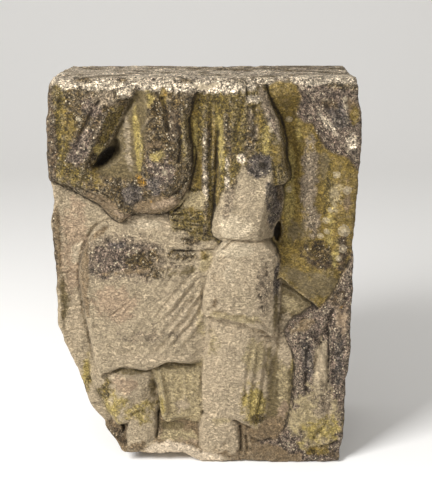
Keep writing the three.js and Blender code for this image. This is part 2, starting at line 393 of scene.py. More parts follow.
def carve_niche(cut):
    """The wall behind the figure, the side panel and the smooth recess at the lower right."""
    x, z = cut.x, cut.z
    wall = cut.depths["niche"] - 8 * smooth(240, 262, x) - 30 * smooth(285, 350, x)
    wall = wall + 7 * bump_at(x, 225, 18) - 5 * bump_at(x, 268, 16)
    wall = mix(wall, 26, smooth(895, 1000, z + 0.12 * (x - 230)) * smooth(120, 180, x))
    low = smooth(585, 500, z) * smooth(110, 160, x)
    cut.depth[:] = mix(wall, 44 - 12 * smooth(230, 340, x) + 12 * ragged(x, z, 60, 5), low)
    cut.hollow("recess", [(180, 490), (240, 456), (295, 415), (335, 370), (300, 200), (250, 60),
                          (150, 20), (150, 300)],
               lambda x, z: cut.depths["recess"] + 4 * smooth(440, 380, z)
               - 22 * smooth(372, 250, z), 3, 1, 71)
    cut.folds((
        (((176, 487), (235, 455), (295, 405)), 5, 12),
        (((180, 498), (235, 468), (272, 441)), 6, -5)), 1, 62)
    cut.form("panel", [(-430, 720), (-200, 740), (-200, -40), (-430, -40)],
             lambda x, z: cut.depths["panel"] - 9 * smooth(-340, -372, x) * smooth(230, 330, z)
             + 3 * ragged(x, z, 120, 11) + 3 * smooth(608, 600, z), 6, 4)
    cut.folds((
        (((-350, 607), (-295, 601)), 5, 3),
        (((-365, 505), (-315, 505)), 5, 5, 1),
        (((-360, 690), (-360, 330)), 9, 3)), 2, 60)


def carve_torso(cut):
    """What is left of the chest, and the lap below it."""
    cut.form("chest", [(-70, 1040), (90, 1040), (90, 540), (-70, 540)],
             lambda x, z: cut.depths["torso"] - 22 * smooth(22, 70, x) - 9 * smooth(940, 985, z)
             + 3 * ragged(x, z * 0.3, 24, 14), 8, 6)
    cut.form("lap", [(-235, 700), (60, 700), (60, 470), (-235, 470)],
             lambda x, z: lap_slope(z) + 10 * smooth(-60, 10, x) + 2 * ragged(x * 0.4, z, 16, 12),
             10, 8)
    cut.folds((
        (((5, 960), (2, 780), (5, 600)), 17, -9),
        (((24, 955), (24, 850), (20, 770)), 7, -3),
        (((36, 900), (30, 750), (20, 610)), 9, 8),
        (((54, 930), (48, 850), (40, 760)), 10, -5),
        (((-46, 730), (-20, 722), (0, 726)), 6, 3),
        (((-90, 657), (-50, 664), (-8, 668)), 6, 4, 1),
        (((-84, 645), (-44, 646), (-4, 640)), 7, 3, 1)), 2.0, 81)


def carve_skirt(cut):
    """The skirt over the lower legs, with its hanging middle panel."""
    cut.form("middle", [(-138, 330), (30, 330), (-9, 262), (-9, 112), (-60, 110), (-106, 108),
                        (-122, 200)],
             lambda x, z: cut.depths["skirt"] - 6 * smooth(-60, -110, x) * smooth(240, 150, z)
             + 4 * bump_at(x, -60, 40) + 2 * ragged(x, z, 40, 18), 7, 6, 5, 3.5, 44)
    cut.form("left leg", [(-290, 330), (-132, 330), (-125, 200), (-126, 122), (-200, 106),
                          (-232, 100), (-276, 170), (-300, 230)],
             lambda x, z: cut.depths["leg"] + 4 + 20 * smooth(-200, -290, x)
             + 9 * smooth(222, 256, z) - 12 * bump_at(x, -200, 46) + 12 * smooth(-168, -124, x)
             + 4 * ragged(x, z, 60, 22), 26, 15, 1.9, 2, 45, weld=6)
    cut.form("right leg", [(4, 400), (180, 400), (174, 210), (162, 104), (135, 82), (85, 114),
                           (10, 128), (-8, 150), (-4, 260)],
             lambda x, z: cut.depths["leg"] - 3 + 30 * smooth(92, 182, x) ** 1.3
             + 5 * smooth(320, 390, z) + 8 * smooth(130, 90, z) * smooth(80, 120, x)
             + 21 * np.clip((60 - x) / 68, 0, 1.2) ** 2 + 2.5 * ragged(x, z, 50, 23),
             10, 5, 3, weld=2)
    cut.fan([(124, 334), (110, 240), (98, 128)], [(182, 335), (178, 220), (156, 92)],
            7, 8, 4.5, 101, 3)
    cut.fan([(-132, 255), (-122, 190), (-110, 112)], [(-18, 250), (-22, 190), (-26, 124)],
            8, 9, 4, 111, 3)
    cut.folds((
        (((-118, 262), (-108, 190), (-100, 118)), 9, -6),
        (((-94, 128), (-60, 134), (-24, 136)), 5, 4),
        (((-96, 112), (-62, 120), (-30, 124)), 6, -5),
        (((-250, 214), (-200, 202), (-140, 236)), 9, 4),
        (((-240, 170), (-190, 190), (-150, 186)), 22, -5),
        (((-215, 232), (-186, 222), (-160, 232)), 7, 3),
        (((30, 330), (60, 280), (70, 200)), 30, -3),
        (((20, 376), (22, 340), (26, 306)), 8, 3)), 2, 121)


def carve_mantle(cut):
    """The mantle drawn over the left knee, and the cover over the right one."""
    def face(x, z):
        bulge = 8 + 0.03 * np.maximum(0, 480 - z) + 20 * smooth(-90, 10, x)
        bulge = bulge + 7 * smooth(-200, -310, x) + 3.5 * ragged(x, z, 80, 15)
        bulge = bulge + 2.0 * ragged(x + 0.5 * z, z - 0.5 * x, 22, 16) * smooth(60, -60, x)
        return mix(bulge, lap_slope(z) + 4, smooth(490, 572, z))

    def scallop(x):
        """The mantle's wavy lower edge, rising to the right."""
        return 264 + 0.11 * (x + 130) + 7 * math.sin(x / 19)

    hem = [(x, scallop(x)) for x in range(-275, 8, 14)]
    cut.form("mantle", [(-222, 642), (-286, 608), (-312, 520), (-302, 400), *hem, (18, 310),
                        (20, 367), (27, 520), (40, 590), (-60, 650)], face, 24,
             lambda x, z: 5 + 11 * smooth(-262, -300, x) + 6 * smooth(590, 630, z))

    def rounded(x, z):
        side = np.minimum(1, (x - 78) / 122)
        right = 72 * (1 - np.sqrt(np.maximum(0, 1 - np.maximum(side, 0) ** 2.3)))
        left = 22 * np.maximum(-side, 0) ** 1.6
        pits = np.maximum(0, ragged(x, z, 13, 19) - 0.18) * smooth(390, 430, z)
        return (2 + right + left + 12 * smooth(560, 622, z) + 3.0 * ragged(x, z, 60, 16)
                + 1.6 * ragged(x, z, 18, 17) + 8 * pits)

    def drape(x):
        """The cover's lower edge, falling to the right in small scallops."""
        return 401 - 0.0017 * x * x + 3 * math.sin(x / 7)

    edge = [(x, drape(x)) for x in range(4, 172, 12)]
    cut.form("cover", [(62, 612), (12, 520), (-3, 430), *edge, (180, 347), (198, 440), (190, 545),
                       (120, 615)], rounded, 4, 4, 6, 1)
    cut.fan([(-14, 530), (-66, 470), (-124, 396)], [(12, 440), (-20, 378), (-84, 306)],
            10, 9, 5, 130, 4)
    cut.fan([(-110, 392), (-136, 344), (-162, 298)], [(-66, 352), (-96, 318), (-128, 290)],
            4, 9, 4.5, 141)
    cut.folds((
        (((-148, 420), (-176, 376), (-206, 340)), 20, -4),
        (((-60, 534), (-84, 506), (-104, 470)), 8, 4, 1),
        (((-20, 300), (-60, 312), (-110, 306)), 16, -3),
        (((-250, 330), (-200, 300), (-160, 300)), 16, 4),
        (((-240, 380), (-190, 350), (-150, 380)), 18, 3),
        (((-150, 470), (-190, 440), (-170, 390)), 16, 3),
        (((8, 505), (-2, 470), (-6, 420)), 6, 4),
        (((14, 300), (9, 360), (4, 410)), 8, -5),
        (((14, 340), (6, 318), (-6, 296)), 6, 4),
        (((-276, 445), (-250, 402), (-190, 445)), 8, 6, -1),
        (((-285, 452), (-230, 452)), 6, 4),
        (((-200, 300), (-170, 318), (-140, 330)), 7, 3),
        (((-300, 560), (-296, 500), (-290, 430), (-284, 340)), 9, -4),
        (((-224, 649), (-280, 622), (-318, 530), (-316, 440), (-300, 330), (-288, 262)), 6, 7),
        (((-208, 640), (-170, 636), (-120, 640)), 6, 4),
        (((-150, 652), (-110, 640), (-60, 622), (0, 612)), 5, 4, 1),
        (((-160, 662), (-100, 652), (-40, 636), (0, 634)), 5, 3, 1),
        (((-120, 664), (-70, 660), (0, 660)), 4, 4, 1),
        (((-130, 622), (-80, 606), (-30, 596)), 5, 4),
        (((-88, 572), (0, 570), (46, 580), (74, 606)), 4, 11),
        (((-110, 548), (-60, 540), (-10, 548), (20, 560)), 6, 4),
        ([(x, z + 8) for x, z in edge], 8, -6, 0, 0.05),
        ([(x, z + 19) for x, z in edge], 6, 5, 0, 0.05),
        (((20, 520), (60, 470), (110, 450)), 12, 3),
        (((140, 352), (180, 342)), 6, -6),
        (((147, 338), (186, 325)), 7, -11),
        (((143, 344), (178, 334)), 4, 6),
        (((178, 548), (186, 480), (184, 400)), 7, 4)), 1.4, 150)
    below = [(x, z - 6) for x, z in hem]
    above = [(x, z + 9) for x, z in hem]
    cut.folds(((below, 5, 8), (above, 6, -3)), 1, 180)


def carve_arm(cut):
    """The upper arm in its sleeve and the broken stump of the forearm."""
    def sleeve(x, z):
        worn = 0.5 * np.maximum(0, x - (122 + 60 * smooth(990, 850, z)))
        return (30 - 12 * smooth(940, 800, z) + 0.7 * np.maximum(0, 92 - 0.12 * (960 - z) - x)
                - 4 * bump_at(x, 108, 16) + worn + 5 * ragged(x, z, 50, 17))

    cut.form("sleeve", [(50, 1020), (132, 1020), (162, 944), (190, 874), (198, 800), (197, 740),
                        (44, 740), (56, 800)], sleeve, 12, 14, 4, 2, 21)

    def stump(x, z):
        edge = 132 + (z - 600) * 0.2
        side = 1.5 * np.maximum(0, x - edge) + 3 * smooth(edge - 8, edge + 4, x)
        inner = 0.7 * np.maximum(0, 52 + (z - 612) * 0.25 - x)
        return (5 + side + inner + 0.22 * np.maximum(0, z - 730) + 3 * ragged(x, z, 60, 18)
                + 1.5 * ragged(x, z, 16, 19))

    cut.form("stump", [(88, 806), (155, 803), (192, 740), (203, 680), (190, 625), (172, 592),
                       (110, 600), (24, 610), (34, 690), (64, 766)], stump, 7, 6, 5, 2, 25, weld=12)
    cut.hollow("", [(100, 818), (150, 818), (168, 776), (150, 749), (110, 775)],
               lambda x, z: 17 + 7 * ragged(x, z, 22, 20), 9, 4, 26)
    cut.hollow("", [(176, 602), (190, 636), (198, 610), (188, 580)], 105, 5, 1.5, 28)
    cut.folds((
        (((170, 790), (180, 740), (178, 690)), 8, 4),
        (((30, 606), (110, 600), (180, 592)), 6, 12),
        (((70, 745), (82, 700), (78, 660)), 12, 3),
        (((100, 960), (86, 900), (72, 840)), 10, 4),
        (((122, 940), (126, 890), (128, 845)), 9, 4),
        (((92, 862), (120, 850), (150, 852)), 8, 5)), 3, 190)


def carve_upper_left(cut):
    """The rough mass at the upper left, with the worn lump of the other arm."""
    def face(x, z):
        lump = 12 * bump_at(x, -106, 48) * bump_at(z, 780, 80)
        brow = 8 * bump_at(x, -275, 45) * bump_at(z, 850, 100)
        return (14 + 6 * ragged(x, z, 70, 3) + 3 * ragged(x, z, 22, 4)
                + 0.3 * np.maximum(0, -352 - x) - lump - brow + 12 * smooth(745, 665, z))

    cut.form("mass", [(-430, 1020), (-44, 1020), (-38, 900), (-29, 790), (-54, 705), (-100, 668),
                      (-175, 666), (-212, 642), (-270, 692), (-345, 742), (-430, 775)],
             face, 19, 19, 1.8, 4, 31)
    cut.folds((
        (((-22, 850), (-20, 790), (-46, 700), (-100, 660), (-180, 658), (-210, 636)), 5, 5),
        (((-216, 638), (-290, 698), (-326, 720)), 5, 4)), 2, 198)

    def trough(x, z):
        beyond = x + 168 - 0.5 * (z - 952)
        return (36 - 0.5 * np.maximum(0, -beyond) - 0.22 * np.maximum(0, beyond)
                + 6 * smooth(940, 830, z))

    cut.hollow("trough", [(-156, 985), (-200, 945), (-268, 840), (-290, 790), (-240, 757),
                          (-165, 758), (-146, 800), (-128, 955)], trough, 20, 3, 51)
    slope = (cut.region == REGIONS.index("trough")) & (cut.x + 174 < 0.5 * (cut.z - 952))
    cut.region[slope] = REGIONS.index("mass")
    cut.hollow("", [(-272, 786), (-240, 828), (-212, 850), (-206, 815), (-250, 780)], 80, 16, 4, 52)
    cut.hollow("", [(-150, 1000), (-95, 1000), (-100, 915), (-138, 920)], 25, 20)
    cut.hollow("", [(-144, 840), (-110, 862), (-72, 844), (-110, 824)], 15, 9, 2, 53)
    cut.folds((
        (((-98, 962), (-90, 915), (-84, 870)), 13, 12),
        (((-60, 890), (-56, 840), (-62, 790)), 9, 6),
        (((-52, 940), (-44, 860), (-38, 790)), 12, -6),
        (((-132, 908), (-150, 866), (-154, 800)), 9, -7),
        (((-245, 960), (-285, 890), (-315, 825)), 11, 8),
        (((-230, 930), (-306, 755)), 13, -6),
        (((-166, 956), (-196, 896), (-226, 836)), 8, 8),
        (((-340, 960), (-352, 890), (-348, 820)), 12, 5),
        (((-166, 970), (-226, 943)), 8, -6),
        (((-318, 742), (-270, 716), (-236, 690)), 7, 5, 1),
        (((-282, 728), (-252, 722), (-232, 706)), 6, 5, 1),
        (((-212, 760), (-204, 712), (-200, 670)), 10, 4),
        (((-150, 760), (-168, 730), (-164, 690)), 11, 5),
        (((-72, 716), (-56, 736), (-38, 760)), 8, 5),
        (((-190, 980), (-150, 968), (-110, 972)), 9, -5)), 3, 204)


def carve_rough_masses(cut):
    """The rim along the top, the upper right corner and the broken mass at the lower right."""
    cut.form("rim", [(-70, 1040), (400, 1040), (400, 992), (150, 998), (70, 984), (-20, 968),
                     (-70, 974)],
             lambda x, z: 13 + 0.5 * np.maximum(0, 996 - z) + 5 * ragged(x, z, 26, 27), 16, 10,
             1.5, 5, 33, weld=9)
    cut.form("corner", [(190, 1040), (430, 1040), (430, 790), (350, 822), (300, 886), (262, 944)],
             lambda x, z: 10 + 5 * ragged(x, z, 60, 13) + 4 * ragged(x, z, 18, 28), 34, 24, 1.2,
             8, 35, weld=8)
    cut.form("bark", [(430, 575), (366, 540), (312, 440), (262, 394), (218, 355), (236, 250),
                      (230, 140), (196, 68), (110, 57), (110, -40), (430, -40)],
             lambda x, z: 12 + 7 * ragged(x, z * 0.45, 46, 41) + 4 * ragged(x, z * 0.6, 15, 42)
             + 8 * smooth(230, 160, x), 26, 22, 2.2, 5, 37)
    cut.folds((
        (((330, 440), (318, 380), (300, 330), (285, 250)), 13, 7),
        (((350, 470), (336, 400), (345, 300)), 14, -6),
        (((262, 350), (300, 300), (318, 220)), 12, -6),
        (((303, 330), (299, 240), (296, 150), (284, 66)), 16, -5),
        (((320, 370), (320, 190)), 8, 9, -1),
        (((268, 330), (262, 260), (264, 190)), 10, 6),
        (((330, 180), (318, 110), (280, 50)), 12, 7),
        (((250, 100), (280, 40), (300, 10)), 12, 5),
        (((355, 60), (330, 48), (300, 44)), 8, 6),
        (((262, 946), (300, 930), (330, 905)), 12, 5),
        (((330, 960), (345, 910), (350, 860)), 13, -5)), 4, 222)


def carve_feet(cut):
    """The broken base strip and the two worn feet on it."""
    cut.form("strip", [(-330, 60), (-250, 96), (-200, 120), (200, 114), (200, -60), (-330, -60)],
             lambda x, z: cut.depths["base"] + 0.4 * np.maximum(0, z - 20)
             + 4 * ragged(x, z, 30, 19), 10, 6, 2, 4, 43)
    cut.form("left foot", [(-200, 104), (-202, 40), (-170, 24), (-134, 36), (-126, 115),
                           (-150, 150), (-184, 148)],
             lambda x, z: 4 + 0.14 * np.maximum(0, z - 60) + 0.10 * (x + 200)
             + 4 * ragged(x, z, 34, 29), 30, 16, 4, 2, 46, weld=5)
    cut.form("right foot", [(-8, 100), (-6, 8), (86, 8), (80, 100), (46, 131), (12, 128)],
             lambda x, z: 2 + 0.12 * np.maximum(0, z - 50) + 0.002 * (x - 40) ** 2
             + 4 * ragged(x, z, 34, 30), 34, 11, 2.4, 2, 47, weld=8)
    cut.folds((
        (((-125, 130), (-124, 96), (-127, 56)), 6, 13),
        (((-4, 112), (30, 134), (76, 118)), 6, 2),
        (((92, 96), (98, 60), (94, 20)), 9, 8),
        (((14, 60), (40, 66), (66, 58)), 12, -4),
        (((26, 20), (30, 44), (28, 70)), 6, 3),
        (((52, 18), (56, 42), (54, 66)), 6, 3),
        (((-218, 100), (-212, 74)), 7, 18),
        (((-196, 128), (-168, 140), (-140, 134)), 7, 5),
        (((118, 62), (150, 50), (180, 60)), 8, 7),
        (((108, 70), (112, 40), (106, 10)), 7, 9)), 2, 240)


def carve(x, z, depths, edge_round, top_round):
    """The whole carved face, with its worn edges and the chipped lower front edge."""
    cut = Carving(x, z, depths)
    for part in (carve_niche, carve_torso, carve_skirt, carve_mantle, carve_arm,
                 carve_feet, carve_upper_left, carve_rough_masses):
        part(cut)
    depth = np.maximum(0, cut.depth)
    shaken = 5 * ragged(x, z, 45, 62)
    for distance, round_ in ((x + left_edge(z) + 0.4 * shaken, edge_round),
                             (right_edge(z) - x + 0.4 * shaken, edge_round),
                             (HEIGHT - z + shaken, top_round)):
        t = np.clip(1 - distance / round_, 0, 1)
        depth = depth + round_ * (1 - np.sqrt(1 - t * t))
    chip = 22 * smooth(-8, -62, x) + 5 * smooth(200, 150, x) + 5 * smooth(300, 345, x)
    chip = chip + 3 * ragged(x, z * 0, 22, 61)
    toe = 5 + 3 * ragged(x, z, 26, 63) + 5 * smooth(6, -2, z - chip)
    depth = mix(depth, np.minimum(depth, toe), smooth(30, 8, z - chip))
    cut.depth = depth + 70 * smooth(-1, -6, z - chip)
    return cut


# ---------------------------------------------------------------------------------------------
# What the surface is like: how strongly it is grained, how many pale specks, how rough
# ---------------------------------------------------------------------------------------------
TEXTURES = {"fresh": (0.12, 0.0, 0.3), "ivory_and_highlight": (0.2, 0.04, 0.25), "cream": (0.2, 0.03, 0.25),
            "beige": (0.24, 0.04, 0.4), "sand": (0.3, 0.06, 0.4), "rosy": (0.24, 0.05, 0.4),
            "tan": (0.4, 0.1, 0.5), "khaki": (0.22, 0.02, 0.2), "film": (0.5, 0.06, 0.35),
            "olive": (0.8, 0.15, 0.6), "moss": (0.5, 0.08, 0.6), "umber": (0.8, 0.25, 0.7),
            "grey": (0.6, 0.28, 0.4), "scurf": (1.0, 0.34, 1.0), "crust": (1.0, 0.38, 1.0),
            "slate": (0.9, 0.28, 0.8), "chalk": (1.0, 0.3, 0.9), "crevice_shade_and_dirt": (0.4, 0.0, 0.5)}
REGION_TEXTURES = ("film", "khaki", "beige", "olive", "beige", "sand", "beige", "cream", "beige",
                   "cream", "olive", "beige", "scurf", "khaki", "chalk", "crust", "crust", "tan",
                   "beige", "cream")
# Oval patches laid over that, under the regions they are kept to: texture, middle x and z, half
# sizes, turn in degrees, strength. A patch without a region lies on anything.
GROWTHS = (
    ("mass", (("olive", -362, 870, 34, 150, 0, 2.2), ("umber", -380, 860, 24, 170, 0, 1.7),
        ("film", -325, 890, 28, 56, 10, 0.7), ("moss", -250, 815, 16, 44, 15, 0.8),
        ("film", -262, 765, 16, 40, 0, 0.9), ("crust", -300, 830, 26, 90, -25, 0.8),
        ("crust", -272, 935, 34, 36, 0, 0.8), ("grey", -238, 955, 44, 26, 0, 0.7),
        ("olive", -310, 765, 60, 34, -25, 0.7), ("slate", -178, 715, 36, 34, -10, 0.9),
        ("crust", -110, 775, 44, 60, 0, 0.7), ("slate", -125, 745, 24, 40, 20, 0.7),
        ("umber", -72, 890, 20, 60, 0, 0.8), ("umber", -250, 880, 14, 60, -28, 0.7),
        ("olive", -45, 860, 14, 90, 0, 0.7), ("tan", -110, 690, 76, 24, 8, 1.3),
        ("tan", -238, 684, 70, 24, -38, 1.0), ("rosy", -90, 696, 50, 14, 14, 0.7),
        ("rosy", -200, 664, 40, 14, -30, 0.7), ("tan", -40, 716, 22, 40, -30, 0.9),
        ("moss", -112, 815, 22, 18, 0, 0.8), ("tan", -110, 842, 40, 14, 0, 0.7),
        ("moss", -140, 950, 26, 26, 0, 0.8))),
    ("", (("chalk", -220, 986, 170, 16, 0, 1.0), ("chalk", 0, 984, 150, 22, 0, 1.1))),
    ("mass", (("chalk", -180, 965, 40, 16, 0, 0.8), ("film", -94, 955, 12, 26, 0, 0.9))),
    ("trough", (("moss", -160, 850, 12, 95, 5, 1.0), ("beige", -186, 850, 13, 100, 5, 0.7))),
    ("mass", (("olive", -222, 890, 20, 60, -26, 1.0),)),
    # A dark patch in the deep pit: painted shadow.
    ("", (("crevice_shade_and_dirt", -243, 806, 16, 32, -36, 1.4),)),
    ("chest", (("film", -35, 905, 26, 80, 0, 1.2),)),
    ("chest lap", (("film", -20, 790, 22, 90, 0, 0.8),)),
    ("chest", (("moss", 40, 850, 14, 110, 4, 0.8), ("moss", -20, 860, 8, 70, 0, 0.7))),
    ("chest lap", (("tan", -38, 760, 14, 60, 0, 0.7), ("scurf", 3, 760, 9, 190, 0, 0.8),
        ("chalk", 6, 780, 12, 170, 0, 0.45))),
    ("chest stump", (("chalk", 58, 760, 8, 80, 0, 0.7),)),
    ("chest lap", (("film", 30, 790, 8, 150, 4, 0.8),)),
    ("chest", (("umber", 12, 850, 6, 90, 0, 0.6),)),
    ("chest lap", (("sand", -30, 696, 40, 30, 0, 1.0),)),
    ("lap", (("olive", -30, 650, 30, 34, 0, 0.8),)),
    ("chest lap", (("film", -34, 672, 24, 14, 0, 0.7),)),
    ("lap mantle", (("olive", -10, 604, 50, 14, 0, 0.8), ("scurf", -40, 596, 40, 14, 0, 0.7))),
    ("lap", (("cream", -120, 648, 110, 26, 0, 1.6), ("ivory_and_highlight", -150, 636, 50, 12, 0, 0.8))),
    ("mantle", (("cream", -130, 628, 90, 18, -6, 1.1),)),
    ("mantle lap", (("tan", -266, 612, 34, 9, 40, 1.0),)),
    # Brown on the mantle's left flank: partly stain, partly painted shade of the flank turning
    # away.
    ("mantle", (("tan", -298, 570, 9, 34, -12, 0.9),)),
    ("mantle lap", (("grey", -205, 552, 130, 62, 0, 1.2), ("crust", -205, 550, 120, 56, 0, 0.84),
        ("scurf", -110, 538, 110, 44, -6, 0.6), ("scurf", -130, 548, 100, 30, -6, 0.7),
        ("slate", -206, 584, 50, 12, 0, 0.7), ("tan", -190, 520, 80, 10, 4, 0.7),
        ("scurf", -60, 560, 50, 22, 0, 0.7), ("grey", -90, 540, 50, 22, -10, 0.7),
        ("khaki", -60, 520, 50, 18, 0, 0.7))),
    # The two thin tan patches on the mantle's left flank: partly stain, partly painted shade.
    ("mantle", (("tan", -303, 490, 14, 130, -3, 1.1), ("rosy", -225, 440, 66, 56, 0, 1.0),
        ("tan", -296, 430, 9, 60, 0, 0.8), ("cream", -50, 400, 56, 90, 30, 0.9),
        ("sand", -2, 480, 16, 60, 15, 0.9), ("sand", -8, 380, 18, 60, 0, 0.7))),
    ("mantle lap", (("sand", 6, 545, 20, 40, -20, 0.8), ("film", 0, 560, 16, 14, 0, 0.7))),
    ("mantle", (("cream", -110, 290, 130, 22, 0, 0.8), ("grey", -150, 350, 110, 30, 0, 0.5))),
    # A dark patch in the deep hole right of the stump's base: painted shadow.
    ("", (("crevice_shade_and_dirt", 186, 606, 10, 24, -14, 1.2),)),
    # The two ivory patches on the cover are painted highlight on the top and left side of the knee.
    ("cover", (("ivory_and_highlight", 66, 580, 60, 26, 0, 1.0), ("ivory_and_highlight", 70, 520, 30, 60, 0, 0.5),
        ("grey", 150, 480, 26, 90, 0, 0.9), ("slate", 184, 500, 12, 110, 0, 0.7),
        ("khaki", 184, 400, 12, 60, 0, 0.9), ("sand", 80, 402, 90, 14, -8, 0.8),
        ("tan", 28, 440, 14, 20, 0, 0.5), ("beige", 90, 450, 70, 40, 0, 0.6))),
    # The ivory patch on the stump is painted highlight on its front face.
    ("stump", (("ivory_and_highlight", 78, 640, 46, 40, 0, 0.9), ("scurf", 66, 760, 26, 50, -10, 0.9),
        ("grey", 60, 700, 16, 50, -10, 0.7), ("cream", 104, 700, 30, 60, 0, 0.7),
        ("slate", 178, 680, 26, 100, 8, 0.9), ("umber", 190, 720, 12, 50, 8, 0.8))),
    ("stump sleeve", (("slate", 136, 790, 34, 30, 0, 1.6),)),
    ("", (("crevice_shade_and_dirt", 142, 790, 16, 14, -30, 0.8), ("chalk", 92, 806, 16, 14, 0, 0.8))),
    ("sleeve", (("grey", 158, 920, 13, 74, 22, 1.4), ("crust", 164, 900, 7, 50, 22, 0.8),
        ("film", 130, 880, 14, 50, 0, 0.8), ("film", 180, 812, 18, 40, 0, 0.9),
        ("film", 78, 890, 20, 90, 6, 0.9), ("moss", 70, 860, 12, 90, 6, 0.9),
        ("moss", 150, 850, 12, 50, 0, 0.7), ("grey", 104, 870, 30, 90, 0, 0.9),
        ("scurf", 110, 850, 16, 70, 0, 0.7), ("chalk", 100, 950, 50, 14, 0, 0.9),
        ("umber", 96, 920, 14, 30, 0, 0.5))),
    ("chest", (("scurf", 60, 850, 12, 90, 6, 0.7),)),
    ("wall", (("grey", 266, 740, 27, 150, 0, 0.85), ("grey", 276, 640, 22, 60, 0, 0.7),
        ("olive", 312, 720, 18, 120, 0, 0.7), ("sand", 330, 700, 24, 60, 0, 0.6),
        ("moss", 318, 620, 12, 90, 0, 0.7), ("moss", 216, 700, 18, 160, 0, 0.8),
        ("moss", 236, 860, 12, 50, 0, 0.6), ("khaki", 300, 800, 16, 70, 0, 0.7),
        ("umber", 292, 925, 50, 40, 0, 1.1), ("umber", 300, 545, 60, 30, 0, 0.8),
        ("khaki", 232, 610, 30, 50, 0, 0.6), ("scurf", 296, 560, 60, 30, 0, 0.7),
        ("umber", 352, 560, 20, 70, 0, 0.7), ("tan", 356, 700, 14, 60, 0, 0.6),
        ("khaki", 286, 480, 60, 40, 0, 0.9), ("khaki", 230, 505, 50, 24, -20, 0.8))),
    ("corner", (("tan", 358, 925, 18, 34, 20, 0.8), ("slate", 320, 915, 26, 44, 20, 1.0),
        ("umber", 300, 940, 30, 18, 0, 0.9), ("film", 362, 915, 12, 30, 0, 0.9),
        ("chalk", 300, 890, 40, 10, -50, 0.9), ("chalk", 360, 850, 18, 26, 0, 0.7))),
    ("rim corner", (("chalk", 200, 990, 190, 10, 0, 0.8),)),
    ("rim", (("umber", 240, 975, 50, 12, 0, 0.8), ("ivory_and_highlight", 20, 978, 60, 10, 0, 0.9))),
    ("corner rim", (("scurf", 330, 985, 60, 16, 0, 0.7),)),
    ("recess", (("sand", 225, 420, 50, 26, -30, 0.8), ("cream", 212, 320, 24, 80, 0, 1.2),
        ("sand", 206, 200, 20, 80, 0, 0.9), ("moss", 232, 240, 8, 90, 0, 0.8),
        ("rosy", 206, 130, 16, 40, -15, 0.7))),
    ("right leg", (("sand", 130, 290, 36, 60, 0, 0.9), ("khaki", 168, 240, 10, 110, 0, 0.9),
        ("moss", 128, 156, 44, 84, 8, 0.74), ("olive", 140, 112, 30, 18, 0, 0.8),
        ("sand", 20, 330, 30, 50, 0, 0.5), ("beige", 60, 180, 40, 60, 0, 0.6))),
    ("left leg", (("rosy", -208, 215, 46, 30, 0, 0.9), ("moss", -238, 158, 70, 62, 0, 0.66),
        ("moss", -165, 142, 56, 40, 0, 0.62), ("khaki", -136, 200, 12, 60, 0, 0.8),
        ("olive", -262, 190, 26, 50, -25, 0.8), ("khaki", -200, 250, 80, 10, 0, 0.8))),
    ("panel", (("moss", -302, 240, 26, 90, -22, 1.0), ("olive", -312, 200, 16, 80, -22, 0.7),
        ("tan", -372, 590, 12, 130, 0, 1.0), ("khaki", -358, 440, 16, 70, 0, 0.9),
        ("umber", -378, 560, 8, 150, 0, 0.8), ("rosy", -320, 690, 40, 20, -30, 0.6),
        ("rosy", -326, 560, 44, 150, 0, 0.9), ("cream", -330, 380, 26, 90, -8, 1.2),
        ("ivory_and_highlight", -322, 560, 28, 40, 0, 0.6))),
    ("middle", (("moss", -114, 150, 14, 40, 0, 0.8), ("khaki", -60, 264, 80, 14, 0, 0.9),
        ("olive", -22, 210, 16, 60, 0, 0.4), ("cream", -60, 150, 30, 30, 0, 0.6))),
    ("left foot", (("moss", -165, 126, 44, 30, 0, 0.6), ("tan", -176, 44, 34, 20, 0, 0.8))),
    ("right foot", (("sand", 36, 116, 40, 16, 0, 0.6), ("tan", 50, 24, 60, 16, 0, 0.7))),
    ("strip wall", (("khaki", -86, 92, 44, 14, 0, 1.0),)),
    ("strip", (("sand", -70, 66, 60, 22, 0, 0.9), ("rosy", -60, 52, 60, 14, 0, 0.6))),
    ("", (("fresh", -84, 30, 70, 24, -3, 1.9), ("fresh", 4, 12, 50, 16, 0, 1.6))),
    ("strip", (("umber", -230, 70, 40, 18, -40, 0.9),)),
    ("strip bark", (("tan", 110, 36, 24, 40, 0, 1.0),)),
    ("bark strip", (("tan", 176, 24, 50, 22, 0, 0.9),)),
    ("bark", (("beige", 300, 240, 26, 110, 0, 1.2), ("sand", 290, 120, 66, 100, 0, 1.2),
        ("cream", 310, 130, 30, 60, 0, 0.8), ("grey", 300, 160, 40, 70, 0, 0.7),
        ("sand", 260, 110, 60, 46, 0, 0.8), ("moss", 300, 90, 90, 60, 20, 0.58),
        ("slate", 262, 300, 22, 80, 10, 0.8), ("slate", 346, 300, 18, 110, 0, 0.8),
        ("rosy", 344, 400, 30, 80, 0, 0.5), ("film", 296, 30, 40, 20, 10, 0.8),
        ("umber", 320, 455, 40, 40, 0, 0.7), ("tan", 250, 372, 40, 16, 30, 0.8))),
    ("bark wall", (("moss", 330, 560, 14, 40, 0, 0.6),)),
    ("bark", (("umber", 350, 20, 30, 14, 0, 0.7),)),
)
# Round pale lichens and ochre ones: x, z, radius.
ROSETTES = ((352, 618, 17), (350, 572, 11), (340, 548, 8), (310, 612, 8), (330, 760, 10),
            (357, 722, 12), (211, 893, 9), (214, 716, 9), (-94, 776, 9), (308, 640, 10),
            (161, 890, 6), (163, 874, 6), (155, 912, 5), (340, 935, 7), (338, 952, 7),
            (318, 668, 8), (296, 598, 9), (-300, 905, 7), (262, 900, 5))
OCHRES = ((-150, 750, 14), (-158, 762, 10), (-92, 964, 7), (-130, 700, 5), (346, 430, 6))


